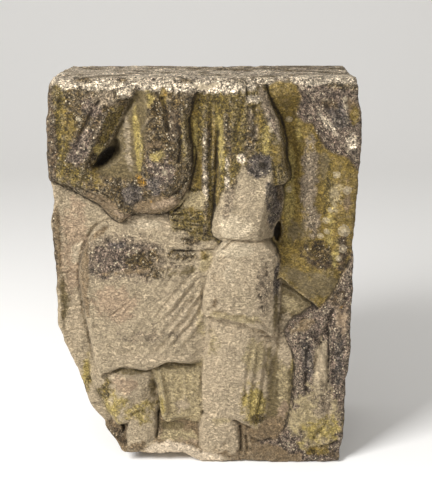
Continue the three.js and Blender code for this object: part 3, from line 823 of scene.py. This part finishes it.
def blur(field, width):
    """A soft average over a grid, three passes of a plain one."""
    for _ in range(3):
        for axis in (0, 1):
            padded = np.pad(field, [(width + 1, width) if a == axis else (0, 0) for a in (0, 1)],
                            mode="edge")
            total = np.cumsum(padded, axis=axis)
            span = 2 * width + 1
            field = (np.take(total, range(span, total.shape[axis]), axis)
                     - np.take(total, range(total.shape[axis] - span), axis)) / span
    return field


# ---------------------------------------------------------------------------------------------
# Making the block
# ---------------------------------------------------------------------------------------------
def read_array(items, name, size=1, kind=float):
    """One property of all vertices, edges, loops or polygons, as a row for each."""
    values = np.empty(len(items) * size, kind)
    items.foreach_get(name, values)
    return values.reshape(-1, size) if size > 1 else values


def get_points(mesh):
    return read_array(mesh.vertices, "co", 3)


def set_points(mesh, points):
    mesh.vertices.foreach_set("co", points.astype(np.float32).ravel())
    mesh.update()


def get_normals(mesh):
    return read_array(mesh.vertices, "normal", 3)


def apply_modifier(piece, kind, **settings):
    modifier = piece.modifiers.new(kind.title(), kind)
    for name, value in settings.items():
        setattr(modifier, name, value)
    bpy.ops.object.modifier_apply(modifier=modifier.name)


def deselect_all():
    if bpy.context.object and bpy.context.object.mode != "OBJECT":
        bpy.ops.object.mode_set(mode="OBJECT")
    bpy.ops.object.select_all(action="DESELECT")


class CarvedFace:
    """The carved face on a grid: its depths, its hollows, and what its surface is like."""

    def __init__(self, sizes, depths, colours):
        columns = round(sizes.width / MM / FACE_STEP)
        rows = round(sizes.height / MM / FACE_STEP)
        names = ("niche", "panel", "recess", "torso", "skirt", "leg", "base")
        self.depths = {name: getattr(depths, name) / MM for name in names}
        self.rounds = (sizes.edge_round / MM, sizes.top_round / MM)
        self.half = 500 * sizes.width
        self.kinds = {name: np.array([*getattr(colours, name), *TEXTURES[name]])
                      for name in TEXTURES}
        x, z = np.meshgrid(np.linspace(-self.half, self.half, columns),
                           np.linspace(0, HEIGHT, rows))
        cut = carve(np.clip(x, -left_edge(z), right_edge(z)), z, self.depths,
                    *self.rounds)
        self.depth = cut.depth
        self.deepest = cut.depth
        for shift in (*range(-4, 0), *range(1, 5)):
            for axis in (0, 1):
                self.deepest = np.maximum(self.deepest, np.roll(cut.depth, shift, axis))
        narrow, wide = blur(self.depth, 1), blur(self.depth, 10)
        inner = (smooth(2, 14, x + left_edge(z)) * smooth(2, 14, right_edge(z) - x)
                 * smooth(HEIGHT, 970, z))
        self.creases = np.clip((self.depth - narrow) / 1.7, -1, 1) * inner
        self.hollows = np.clip((self.depth - wide) / 26, -1, 1)
        self.skin = self.lay_growths(x, z, cut.region)

    def lay_growths(self, x, z, region):
        """Colour, grain, specks and roughness of the face: each region's, then the patches."""
        shares = [blur((region == number).astype(float), 1) for number in range(len(REGIONS))]
        skin = sum(share[..., None] * self.kinds[kind]
                   for share, kind in zip(shares, REGION_TEXTURES))
        broken = (0.6 * ragged(x, z, 36, 301) + 0.6 * ragged(x, z, 13, 304)
                  + 0.55 * noise(x, z, 6, 307) + 0.3 * ragged(x, z * 0.2, 14, 310))
        for where, patches in GROWTHS:
            kept = np.ones_like(x)
            if where:
                kept = sum(share for share, name in zip(shares, REGIONS) if name in where)
            for kind, cx, cz, half_x, half_z, turn, strength in patches:
                reach = 1.5 * max(half_x, half_z)
                spot = (abs(x - cx) < reach) & (abs(z - cz) < reach)
                c, s = math.cos(math.radians(turn)), math.sin(math.radians(turn))
                u = ((x[spot] - cx) * c + (z[spot] - cz) * s) / half_x
                v = ((z[spot] - cz) * c - (x[spot] - cx) * s) / half_z
                mask = strength * (1 - smooth(0.15, 1.45, np.hypot(u, v)))
                mask = smooth(0.3, 0.62, mask + 0.42 * broken[spot] * smooth(0.05, 0.35, mask))
                skin[spot] = mix(skin[spot], self.kinds[kind], (mask * kept[spot])[:, None])
        return skin

    def read(self, field, x, z):
        """The grid's value at any place, straight between its points."""
        rows, columns = field.shape[:2]
        u = np.clip((x + self.half) / (2 * self.half), 0, 1) * (columns - 1.001)
        v = np.clip(z / HEIGHT, 0, 1) * (rows - 1.001)
        iu, iv = u.astype(int), v.astype(int)
        fu, fv = u - iu, v - iv
        if field.ndim == 3:
            fu, fv = fu[:, None], fv[:, None]
        low = mix(field[iv, iu], field[iv, iu + 1], fu)
        high = mix(field[iv + 1, iu], field[iv + 1, iu + 1], fu)
        return mix(low, high, fv)

    def carved(self, points):
        """1 on the carved face, 0 on the plain sides and back."""
        limit = self.read(self.deepest, points[:, 0] / MM, points[:, 2] / MM) * MM - 0.2
        return smooth(0.034, 0.004, points[:, 1] - limit)


class RELIEF_OT_carve(bpy.types.Operator):
    """Carve the relief block: cut its face, close it at the back, weather its skin"""
    bl_idname = "relief.carve"
    bl_label = "Carve the block"

    def execute(self, context):
        scene = context.scene
        sizes = scene.relief_block
        face = CarvedFace(sizes, scene.relief_depths, scene.relief_colours)
        piece = self.cut_face(sizes, face)
        self.close_block(sizes, piece)
        self.weather(sizes, piece, face)
        self.paint(piece, face)
        self.lay_out(piece, face)
        deselect_all()
        piece.select_set(True)
        context.view_layer.objects.active = piece
        bpy.ops.object.shade_smooth()
        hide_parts("relief_block")
        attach(piece, "root")
        return {"FINISHED"}

    def cut_face(self, sizes, face):
        """A standing grid, each point pushed in to the depth of the carving."""
        coarse = 1.0
        deselect_all()
        bpy.ops.mesh.primitive_grid_add(
            x_subdivisions=round(sizes.width / sizes.cell / coarse),
            y_subdivisions=round(sizes.height / sizes.cell / coarse), size=1,
            location=(0, 0, 0), rotation=(math.pi / 2, 0, 0))
        piece = bpy.context.object
        piece.name = piece.data.name = NAME
        bpy.ops.object.transform_apply(location=True, rotation=True, scale=True)
        points = get_points(piece.data)
        z = (points[:, 2] + 0.5) * HEIGHT
        x = mix(-left_edge(z), right_edge(z), points[:, 0] + 0.5)
        depth = carve(x, z, face.depths, *face.rounds).depth
        set_points(piece.data, np.column_stack([x, depth, z]) * MM - (0, sizes.depth / 2, 0))
        return piece

    def close_block(self, sizes, piece):
        """The border is drawn back to a flat rear face, and an even skin is laid over it all."""
        steps = 3
        for step in range(steps):
            bpy.ops.object.mode_set(mode="EDIT")
            bpy.ops.mesh.select_mode(type="EDGE")
            bpy.ops.mesh.select_all(action="DESELECT")
            bpy.ops.mesh.select_non_manifold(extend=False, use_wire=False, use_boundary=True,
                                             use_multi_face=False, use_non_contiguous=False,
                                             use_verts=False)
            bpy.ops.mesh.extrude_region_move(TRANSFORM_OT_translate={"value": (0, 0, 0)})
            bpy.ops.object.mode_set(mode="OBJECT")
            points = get_points(piece.data)
            chosen = read_array(piece.data.vertices, "select", kind=bool)
            x, y, z = points[chosen].T
            share = 1 / (steps - step)
            points[chosen, 1] += (sizes.depth / 2 - y) * share
            drawn = np.where(x < -0.16, np.maximum(x, REAR_LEFT),
                             np.where(x > 0.3, REAR_RIGHT, x))
            points[chosen, 0] += (drawn - x) * share * smooth(0.0, 0.1, z)
            set_points(piece.data, points)
        bpy.ops.object.mode_set(mode="EDIT")
        bpy.ops.mesh.edge_face_add()
        bpy.ops.mesh.select_all(action="SELECT")
        bpy.ops.mesh.normals_make_consistent(inside=False)
        bpy.ops.object.mode_set(mode="OBJECT")
        coarse = 1.0
        apply_modifier(piece, "REMESH", mode="VOXEL", voxel_size=sizes.skin * coarse,
                       use_smooth_shade=True)

    def weather(self, sizes, piece, face):
        """An uneven, worn skin, strongest where the stone is rough."""
        points, normals = get_points(piece.data), get_normals(piece.data)
        carved = face.carved(points)
        group = piece.vertex_groups.new(name="plain_sides")
        plain = np.flatnonzero(carved < 0.5).tolist()
        if plain:
            group.add(plain, 1.0, "REPLACE")
        x, z = points[:, 0] / MM, points[:, 2] / MM
        rough = face.read(face.skin[..., 5], x, z)
        tall = points * (1, 1, 0.5)
        rugged = (2.4 * rock(points, 0.052, 101) + 1.9 * rock(tall, 0.022, 102)
                  + 1.3 * rock(points, 0.0115, 103) + 0.7 * rock(points, 0.0066, 104)
                  + 2.2 * np.minimum(0, rock(points, 0.013, 108) + 0.3))
        quiet = (0.8 * rock(points, 0.034, 105) + 0.55 * rock(points, 0.014, 106)
                 + 0.4 * rock(points, 0.0075, 107)
                 - 0.9 * np.maximum(0, rock(points * (1, 1, 1.7), 0.012, 109) - 0.3))
        face_move = mix(1.5 * quiet, rugged, np.clip(rough - 0.2, 0, 1)) + 0.7 * quiet
        hewn = (-1.6 * (normals[:, 2] < 0.7) - 0.4 + 2.2 * rock(points, 0.150, 111)
                + 1.5 * rock(points, 0.055, 112) + 1.1 * rock(points, 0.020, 113)
                + 0.5 * rock(points, 0.009, 114)
                - 1.6 * np.abs(rock(points * (1, 1, 0.4) + 0.3 * points[:, [1]], 0.024, 115)))
        move = mix(hewn, face_move, carved)
        under = (points[:, 2] < 0.005) & (normals[:, 2] < -0.5)
        points = points + normals * (np.where(under, 0, move) * MM)[:, None]
        half = sizes.width / 2 - 0.0001
        low, high = (-half, -sizes.depth / 2, 0), (half, sizes.depth / 2, sizes.height)
        set_points(piece.data, np.clip(points, low, high))
        self.thin(sizes, piece)
        set_points(piece.data, np.clip(get_points(piece.data), low, high))

    def thin(self, sizes, piece):
        """Fewer triangles: first on the plain sides and the back, then on the carved face."""

        def triangles():
            return sum(len(polygon.vertices) - 2 for polygon in piece.data.polygons)

        group = piece.vertex_groups["plain_sides"].index
        plain = {v.index for v in piece.data.vertices if any(g.group == group for g in v.groups)}
        sides = sum(len(polygon.vertices) - 2 for polygon in piece.data.polygons
                    if polygon.vertices[0] in plain)
        for goal, front in ((triangles() - sides + sizes.side_faces, False),
                            (sizes.faces, True)):
            apply_modifier(piece, "DECIMATE", ratio=min(1, goal / triangles()),
                           vertex_group="plain_sides", vertex_group_factor=0.0,
                           invert_vertex_group=front, use_collapse_triangulate=True)

    def paint(self, piece, face):
        """Attributes for the finish: the skin's colour, its grain, specks and roughness, a mask
        that is partly soiling and partly painted shade, and one that is partly wear and partly
        painted highlight.
        """
        mesh = piece.data
        points, normals = get_points(mesh), get_normals(mesh)
        x, z = points[:, 0] / MM, points[:, 2] / MM
        carved = face.carved(points)[:, None]
        top = (smooth(0.980, 0.994, points[:, 2]) * smooth(0.45, 0.8, normals[:, 2]))[:, None]
        broad = rock(points, 0.13, 121) + 0.5 * rock(points, 0.05, 122)
        fine = rock(points, 0.028, 123) + 0.6 * rock(points, 0.012, 124)
        streak = rock(points * (1, 1, 0.25), 0.03, 125)
        kinds = face.kinds
        sides = mix(kinds["scurf"], kinds["olive"],
                    smooth(-0.3, 0.5, broad + 0.5 * fine + 0.4 * streak)[:, None])
        sides = mix(sides, kinds["crust"], smooth(0.2, 0.7, fine - 0.7 * broad)[:, None])
        sides = mix(sides, kinds["beige"], smooth(0.5, 0.9, streak - 0.5 * fine)[:, None] * 0.7)
        sides[:, 3:5] *= (0.85, 0.6)
        rear = mix(kinds["tan"], kinds["beige"], smooth(-0.4, 0.5, broad + 0.5 * fine)[:, None])
        rear = mix(rear, kinds["umber"], smooth(0.35, 0.8, fine - 0.4 * broad)[:, None] * 0.6)
        behind = smooth(0.15, 0.2, points[:, 1])[:, None]
        sides = mix(sides, rear, behind)
        tops = mix(kinds["chalk"], kinds["scurf"],
                   smooth(-0.5, 0.9, fine + 0.6 * broad)[:, None])
        tops = mix(tops, kinds["crust"], smooth(0.0, 0.8, streak - 0.3 * fine)[:, None] * 0.7)
        skin = mix(sides, face.read(face.skin, x, z), carved)
        skin = mix(skin, tops, top)

        a, b = read_array(mesh.edges, "vertices", 2, np.int64).T
        count = np.bincount(a, minlength=len(points)) + np.bincount(b, minlength=len(points))

        def around(values):
            """The average over each point's neighbours."""
            total = np.bincount(a, values[b], len(points)) + np.bincount(b, values[a], len(points))
            return total / np.maximum(count, 1)

        bend = sum((around(points[:, i]) - points[:, i]) * normals[:, i] for i in range(3)) / MM
        bend = 0.7 * bend + 0.3 * around(bend)
        hollows = face.read(face.hollows, x, z) * carved[:, 0]
        creases = face.read(face.creases, x, z) * carved[:, 0]
        grown = smooth(0.22, 0.6, skin[:, 3])
        # Darkening in creases, concave places and hollows: partly dirt, partly painted shade.
        dirt = (0.75 * grown * np.clip(bend, 0, 1) + 0.85 * np.clip(creases, 0, 1)
                + 0.3 * np.clip(hollows, 0, 1)) * (0.62 + 0.38 * grown)
        # Lightening on ridges, convex and raised places: partly wear, partly painted highlight.
        worn = (np.clip(-1.1 * bend, 0, 1) * (0.55 + 0.15 * grown) + 0.5 * np.clip(-creases, 0, 1)
                + 0.25 * np.clip(-hollows, 0, 1))
        for name, value in {"grain": skin[:, 3], "specks": skin[:, 4], "rough": skin[:, 5],
                            "dirt": dirt, "worn": worn}.items():
            layer = mesh.attributes.new(name, "FLOAT", "POINT")
            layer.data.foreach_set("value", np.clip(value, 0, 1.5).astype(np.float32))
        layer = mesh.attributes.new("skin", "FLOAT_COLOR", "POINT")
        colours = np.column_stack([skin[:, :3], np.ones(len(points))])
        layer.data.foreach_set("color", np.clip(colours, 0, 1).astype(np.float32).ravel())

    def lay_out(self, piece, face):
        """A texture layout that gives the carved face most of the room."""
        mesh = piece.data
        layer = mesh.uv_layers.new(name="OFBake")
        points = get_points(mesh)
        polygons = mesh.polygons
        corner = read_array(mesh.loops, "vertex_index", kind=np.int64)
        total = read_array(polygons, "loop_total", kind=np.int64)
        across, along_y, up = read_array(polygons, "normal", 3).T
        middle = read_array(polygons, "center", 3)
        height = middle[:, 2] / MM
        border = 14  # millimetres inside the sides, where all that is cut belongs to the face
        inner = ((middle[:, 0] / MM > border - left_edge(height))
                 & (middle[:, 0] / MM < right_edge(height) - border)
                 & (height > 40) & (height < 985) & (middle[:, 1] < -0.07))
        front = inner | ((along_y < -0.25) & (face.carved(middle) > 0.3))
        kinds = np.where(front, 0, np.where(along_y > 0.7, 1, np.where(
            np.abs(up) > np.abs(across), np.where(up > 0, 2, 3), np.where(across < 0, 4, 5))))
        kind = kinds[np.repeat(np.arange(len(polygons)), total)]
        x, y, z = points[corner].T
        uv = np.zeros((len(corner), 2))
        from_left = (x + LAYOUT["half"]) / LAYOUT["width"]
        from_right = (LAYOUT["half"] - x) / LAYOUT["width"]
        inward, upward = (y + LAYOUT["front"]) / LAYOUT["depth"], z / LAYOUT["height"]
        # Face, back, top, underside, left and right side: the chart's low corner and its size on
        # the layout, and the two ways it runs.
        charts = (
            (0.005, 0.005, 0.735, 0.950, from_left, upward),
            (0.750, 0.005, 0.240, 0.300, from_right, upward),
            (0.750, 0.315, 0.240, 0.125, from_left, inward),
            (0.750, 0.450, 0.240, 0.125, from_left, inward),
            (0.750, 0.585, 0.115, 0.400, inward, upward),
            (0.875, 0.585, 0.115, 0.400, inward, upward),
        )
        for number, (u0, v0, wide, tall, over, rise) in enumerate(charts):
            here = kind == number
            uv[here, 0] = u0 + wide * np.clip(over[here], 0, 1)
            uv[here, 1] = v0 + tall * np.clip(rise[here], 0, 1)
        layer.data.foreach_set("uv", uv.astype(np.float32).ravel())


# ---------------------------------------------------------------------------------------------
# The finish
# ---------------------------------------------------------------------------------------------
class Sheet:
    """A material's node sheet. Every node comes from add()."""

    def __init__(self, name):
        self.material = bpy.data.materials.new(name)
        self.material.use_nodes = True
        self.tree = self.material.node_tree
        self.tree.nodes.clear()

    def add(self, kind, settings=None, output=0, **inputs):
        """One node: its settings first, then its sockets by name, then the output asked for."""
        node = self.tree.nodes.new(kind)
        for name, value in (settings or {}).items():
            setattr(node, name, value)
        for name, value in inputs.items():
            socket = self.find(node, name)
            if isinstance(value, Value):
                self.tree.links.new(value.socket, socket)
            else:
                socket.default_value = value
        return Value(self, node.outputs[output]) if node.outputs else node

    @staticmethod
    def find(node, name):
        if name[0] == "i" and name[1:].isdigit():
            return node.inputs[int(name[1:])]
        return node.inputs[name.replace("_", " ")]

    def math(self, operation, *values, clamp=False):
        return self.add("ShaderNodeMath", {"operation": operation, "use_clamp": clamp},
                        **{f"i{i}": v for i, v in enumerate(values)})

    def vector(self, operation, a, b, output=0):
        return self.add("ShaderNodeVectorMath", {"operation": operation}, output, i0=a, i1=b)

    def attribute(self, name, output):
        return self.add("ShaderNodeAttribute",
                        {"attribute_type": "GEOMETRY", "attribute_name": name}, output)

    def noise(self, place, scale, detail, roughness, distortion=0.0):
        return self.add("ShaderNodeTexNoise", {"noise_dimensions": "3D"}, Vector=place,
                        Scale=scale, Detail=detail, Roughness=roughness, Distortion=distortion)

    def blend(self, a, b, share):
        """A colour between two colours."""
        a, b = (v if isinstance(v, Value) else (*v, 1.0) for v in (a, b))
        return self.add("ShaderNodeMix", {"data_type": "RGBA", "clamp_factor": True}, output=2,
                        i0=share, i6=a, i7=b)

    def shade(self, a, amount):
        """A colour made lighter or darker by a number."""
        grey = self.add("ShaderNodeCombineXYZ", X=amount, Y=amount, Z=amount)
        return self.vector("MULTIPLY", a, grey)

    def step(self, value, start, end):
        """0 below the start, 1 above the end, smooth between."""
        return self.add("ShaderNodeMapRange", {"interpolation_type": "SMOOTHSTEP"}, Value=value,
                        From_Min=start, From_Max=end, To_Min=0.0, To_Max=1.0)


def operator(operation, reflected=False):
    """An operator of Value: a Math node on it and the other side of the sign."""
    def work(value, other):
        sides = (other, value) if reflected else (value, other)
        return value.sheet.math(operation, *sides)
    return work


class Value:
    """A socket in an expression: arithmetic on it adds Math nodes."""

    def __init__(self, sheet, socket):
        self.sheet, self.socket = sheet, socket

    def __abs__(self):
        return self.sheet.math("ABSOLUTE", self)

    __add__ = __radd__ = operator("ADD")
    __mul__ = __rmul__ = operator("MULTIPLY")
    __sub__, __rsub__ = operator("SUBTRACT"), operator("SUBTRACT", True)
    __truediv__, __rtruediv__ = operator("DIVIDE"), operator("DIVIDE", True)
    __pow__, __rpow__ = operator("POWER"), operator("POWER", True)


class RELIEF_OT_finish(bpy.types.Operator):
    """Give the block its weathered stone: grain, crust, pale specks, rosettes, darkening in the
    hollows that is partly soiling and partly painted shade, and lightening on ridges that is partly
    wear and partly painted highlight
    """
    bl_idname = "relief.finish_stone"
    bl_label = "Weather the stone"

    def execute(self, context):
        piece = bpy.data.objects.get(NAME)
        if piece is None:
            raise RuntimeError("carve the block before it is finished")
        colours = context.scene.relief_colours
        sheet = Sheet("weathered_limestone")
        place = sheet.add("ShaderNodeTexCoord", output="Object")
        grain, specks, rough, dirt, worn = (
            sheet.attribute(name, "Fac") for name in ("grain", "specks", "rough", "dirt", "worn"))
        skin = sheet.attribute("skin", "Color")

        def grains(size, detail, roughness, shift=0.0):
            """Noise with grains of this size in millimetres, 0 to 1 around a half."""
            moved = sheet.vector("ADD", place, (shift, shift, shift))
            return sheet.noise(moved, 1000 / size, detail, roughness)

        def cells(size, output="Distance"):
            return sheet.add("ShaderNodeTexVoronoi", {"feature": "F1"}, output=output,
                             Vector=place, Scale=1000 / size, Randomness=1.0)

        fine = grains(4.0, 1.5, 0.6)
        speckle = grains(10, 3.0, 0.62, 0.31)
        salt = grains(8, 2.5, 0.62, 0.72)
        mottle = grains(32, 3.0, 0.6, 1.13)
        squashed = sheet.vector("MULTIPLY", place, (1, 1, 1.9))
        wavy = sheet.noise(squashed, 70, 3.0, 0.6, 0.6)
        wrinkle = sheet.step(abs(wavy - 0.5), 0.032, 0.0)
        wrinkle = wrinkle * sheet.step(mottle, 0.42, 0.58) * sheet.step(grain, 0.7, 0.3)
        pucker = sheet.step(abs(sheet.noise(squashed, 95, 2.0, 0.6, 1.6) - 0.5), 0.05, 0.0)
        coarse = sheet.math("MAXIMUM", grain - 0.2, 0.0)

        # Besides grain and random mottling, the tone is lighter on the ripples' rises and darker in
        # the wrinkles and puckers that the bump carves: painted light and shade of that fine
        # relief.
        grit = (fine - 0.5) * 2.0 + (speckle - 0.5) * 1.9
        tone = 2.718 ** (grit * (0.16 + 3.0 * coarse) + (mottle - 0.5) * 0.9
                         + (wavy - 0.5) * 0.75 - 0.5 * wrinkle - 0.34 * pucker + 0.08)
        skin = sheet.shade(skin, tone)
        warm = sheet.step(grains(16, 2.0, 0.5, 2.4), 0.58, 0.72) * 0.2
        skin = sheet.blend(skin, colours.rosy, warm * (0.4 + 0.6 * grain))

        pepper = sheet.step(salt, 0.46, 0.36) * grain
        # Creases, concave places and hollows turn dark brown: partly dirt, partly painted shade.
        grime_and_shade = sheet.step(dirt + (speckle - 0.5) * 0.4 * rough, 0.15, 1.15)
        skin = sheet.blend(skin, colours.crevice_shade_and_dirt, grime_and_shade * 0.86)
        skin = sheet.blend(skin, colours.crevice_shade_and_dirt, pepper * 0.75)
        # Ridges and raised places are lightened towards ivory: partly wear, partly painted
        # highlight.
        bare_and_highlit = worn * (0.25 + 0.35 * grain) * sheet.step(fine, 0.35, 0.6)
        skin = sheet.blend(skin, colours.ivory_and_highlight, bare_and_highlit)

        edge = 0.80 - 0.46 * specks
        flecks = sheet.step(salt + (fine - 0.5) * 0.25, edge, edge + 0.05)
        pick = sheet.add("ShaderNodeSeparateColor", output="Red", Color=cells(8, "Color"))
        dots = (sheet.step(cells(8) + (fine - 0.5) * 0.5, 0.34, 0.18)
                * sheet.step(pick, 1.0 - 0.55 * specks, 1.02 - 0.55 * specks)
                * sheet.step(specks, 0.1, 0.2))
        pale = sheet.math("MAXIMUM", flecks, dots) * sheet.step(grime_and_shade, 0.8, 0.3)
        skin = sheet.blend(skin, colours.speck, pale * (0.45 + 1.0 * fine))

        flat = sheet.vector("MULTIPLY", place, (1, 0, 1))
        front = sheet.step(sheet.add("ShaderNodeSeparateXYZ", output="Y", Vector=place), 0, -0.04)

        def spots(table, soften):
            """Round growths: one where the place is within a spot's ragged edge."""
            found = None
            for x, z, radius in table:
                away = sheet.vector("DISTANCE", flat, (x * MM, 0, z * MM), "Value")
                uneven = away / (radius * MM) + (speckle - 0.5) * 0.8 + (fine - 0.5) * 0.5
                dull = sheet.step(uneven, 0.25, 0.45) * sheet.step(uneven, 0.85, 0.65)
                spot = sheet.step(uneven, 1.0, soften) * (1 - 0.55 * dull)
                found = spot if found is None else sheet.math("MAXIMUM", found, spot)
            return found

        rings = spots(ROSETTES, 0.7) * front
        ring = sheet.shade(sheet.blend(colours.speck, skin, 0.25), 0.55 + 0.7 * fine)
        skin = sheet.blend(skin, ring, rings * 0.95)
        rust = spots(OCHRES, 0.5) * front * 0.85 * sheet.step(fine, 0.36, 0.55)
        skin = sheet.blend(skin, colours.ochre, rust)

        height = (speckle * (1.3 + 0.5 * grain) + 0.6 * fine + 1.7 * wavy - 0.5 * wrinkle
                  - 0.7 * pucker + 0.45 * pale - 0.5 * pepper + 0.5 * rings)
        relief = sheet.add("ShaderNodeBump", output="Normal", Strength=1.0, Distance=0.0045,
                           Height=height * (0.55 + 0.6 * rough))
        shader = sheet.add("ShaderNodeBsdfPrincipled", {}, Base_Color=skin,
                           Roughness=0.88 + 0.08 * speckle, Normal=relief, Metallic=0.0, IOR=1.45)
        sheet.add("ShaderNodeOutputMaterial", Surface=shader)
        piece.data.materials.clear()
        piece.data.materials.append(sheet.material)
        return {"FINISHED"}


# ---------------------------------------------------------------------------------------------
# The stage
# ---------------------------------------------------------------------------------------------
class RELIEF_OT_stage(bpy.types.Operator):
    """Set the block on a plain pale floor with soft light and a camera"""
    bl_idname = "relief.stage"
    bl_label = "Set the stage"

    def execute(self, context):
        stage = context.scene.relief_stage
        self.floor(stage)
        self.lights(context, stage)
        self.camera(context, stage)
        return {"FINISHED"}

    def floor(self, stage):
        """A floor that turns up into a backdrop through a wide bend."""
        deselect_all()
        bpy.ops.mesh.primitive_plane_add(size=16, location=(0, -1, 0))
        floor = bpy.context.object
        floor.name = "floor"
        bpy.ops.object.transform_apply(location=True, rotation=True, scale=True)
        far_edge = 6.9
        self.choose_edges(floor, lambda place: place.y > far_edge)
        bpy.ops.mesh.extrude_region_move(TRANSFORM_OT_translate={"value": (0, 0, 8)})
        self.choose_edges(floor, lambda place: place.y > far_edge and place.z < 0.1)
        bpy.ops.mesh.bevel(offset=3.0, segments=12, affect="EDGES")
        bpy.ops.object.mode_set(mode="OBJECT")
        bpy.ops.object.shade_smooth()
        sheet = Sheet("plain_floor")
        shader = sheet.add("ShaderNodeBsdfPrincipled", {}, Base_Color=(*stage.floor, 1.0),
                           Roughness=0.9)
        sheet.add("ShaderNodeOutputMaterial", Surface=shader)
        floor.data.materials.append(sheet.material)

    @staticmethod
    def choose_edges(piece, wanted):
        """In edit mode, only the edges with both ends at a wanted place are chosen."""
        bpy.ops.object.mode_set(mode="EDIT")
        bpy.ops.mesh.select_mode(type="EDGE")
        bpy.ops.mesh.select_all(action="DESELECT")
        bpy.ops.object.mode_set(mode="OBJECT")
        for edge in piece.data.edges:
            edge.select = all(wanted(piece.data.vertices[v].co) for v in edge.vertices)
        bpy.ops.object.mode_set(mode="EDIT")

    def lights(self, context, stage):
        for name, power, place, size in (("key", stage.key, (-2.3, -2.4, 2.9), 1.6),
                                         ("fill", stage.fill, (2.6, -2.8, 1.3), 2.6)):
            data = bpy.data.lights.new(name, "AREA")
            data.energy, data.size = power, size
            light = bpy.data.objects.new(name, data)
            light.location = place
            aim = light.location.copy()
            aim.z -= 0.5
            light.rotation_euler = aim.to_track_quat("Z", "Y").to_euler()
            context.scene.collection.objects.link(light)
        world = bpy.data.worlds.new("soft_room")
        world.use_nodes = True
        background = world.node_tree.nodes["Background"]
        background.inputs["Color"].default_value = (1.0, 0.985, 0.96, 1.0)
        background.inputs["Strength"].default_value = stage.sky
        context.scene.world = world
        context.scene.view_settings.view_transform = "Standard"

    def camera(self, context, stage):
        data = bpy.data.cameras.new("camera")
        data.lens, data.sensor_width = stage.lens, 36.0
        camera = bpy.data.objects.new("camera", data)
        camera.location = (stage.camera_side, -0.2 - stage.distance, stage.camera_height)
        camera.rotation_euler = (math.pi / 2 - stage.tilt, 0, 0)
        context.scene.collection.objects.link(camera)
        context.scene.camera = camera


class RELIEF_PT_panel(bpy.types.Panel):
    """The relief panel's tools"""
    bl_idname = "RELIEF_PT_panel"
    bl_label = "Stone relief"
    bl_space_type = "VIEW_3D"
    bl_region_type = "UI"
    bl_category = "Relief"

    def draw(self, context):
        scene = context.scene
        for title, group, operator in (
                ("Block", scene.relief_block, "relief.carve"),
                ("Depths", scene.relief_depths, None),
                ("Colours", scene.relief_colours, "relief.finish_stone"),
                ("Stage", scene.relief_stage, "relief.stage")):
            box = self.layout.box()
            box.label(text=title)
            for name in group.__annotations__:
                box.prop(group, name)
            if operator:
                box.operator(operator)


CLASSES = (BlockSizes, CarvingDepths, StoneColours, StageSettings, RELIEF_OT_carve,
           RELIEF_OT_finish, RELIEF_OT_stage, RELIEF_PT_panel)
GROUPS = {"relief_block": BlockSizes, "relief_depths": CarvingDepths,
          "relief_colours": StoneColours, "relief_stage": StageSettings}


def register():
    for cls in CLASSES:
        bpy.utils.register_class(cls)
    for name, group in GROUPS.items():
        setattr(bpy.types.Scene, name, PointerProperty(type=group))


def unregister():
    for name in GROUPS:
        delattr(bpy.types.Scene, name)
    for cls in reversed(CLASSES):
        bpy.utils.unregister_class(cls)


def main():
    register()
    bpy.ops.relief.carve()
    bpy.ops.relief.finish_stone()
    bpy.ops.relief.stage()


if __name__ == "__main__":
    main()
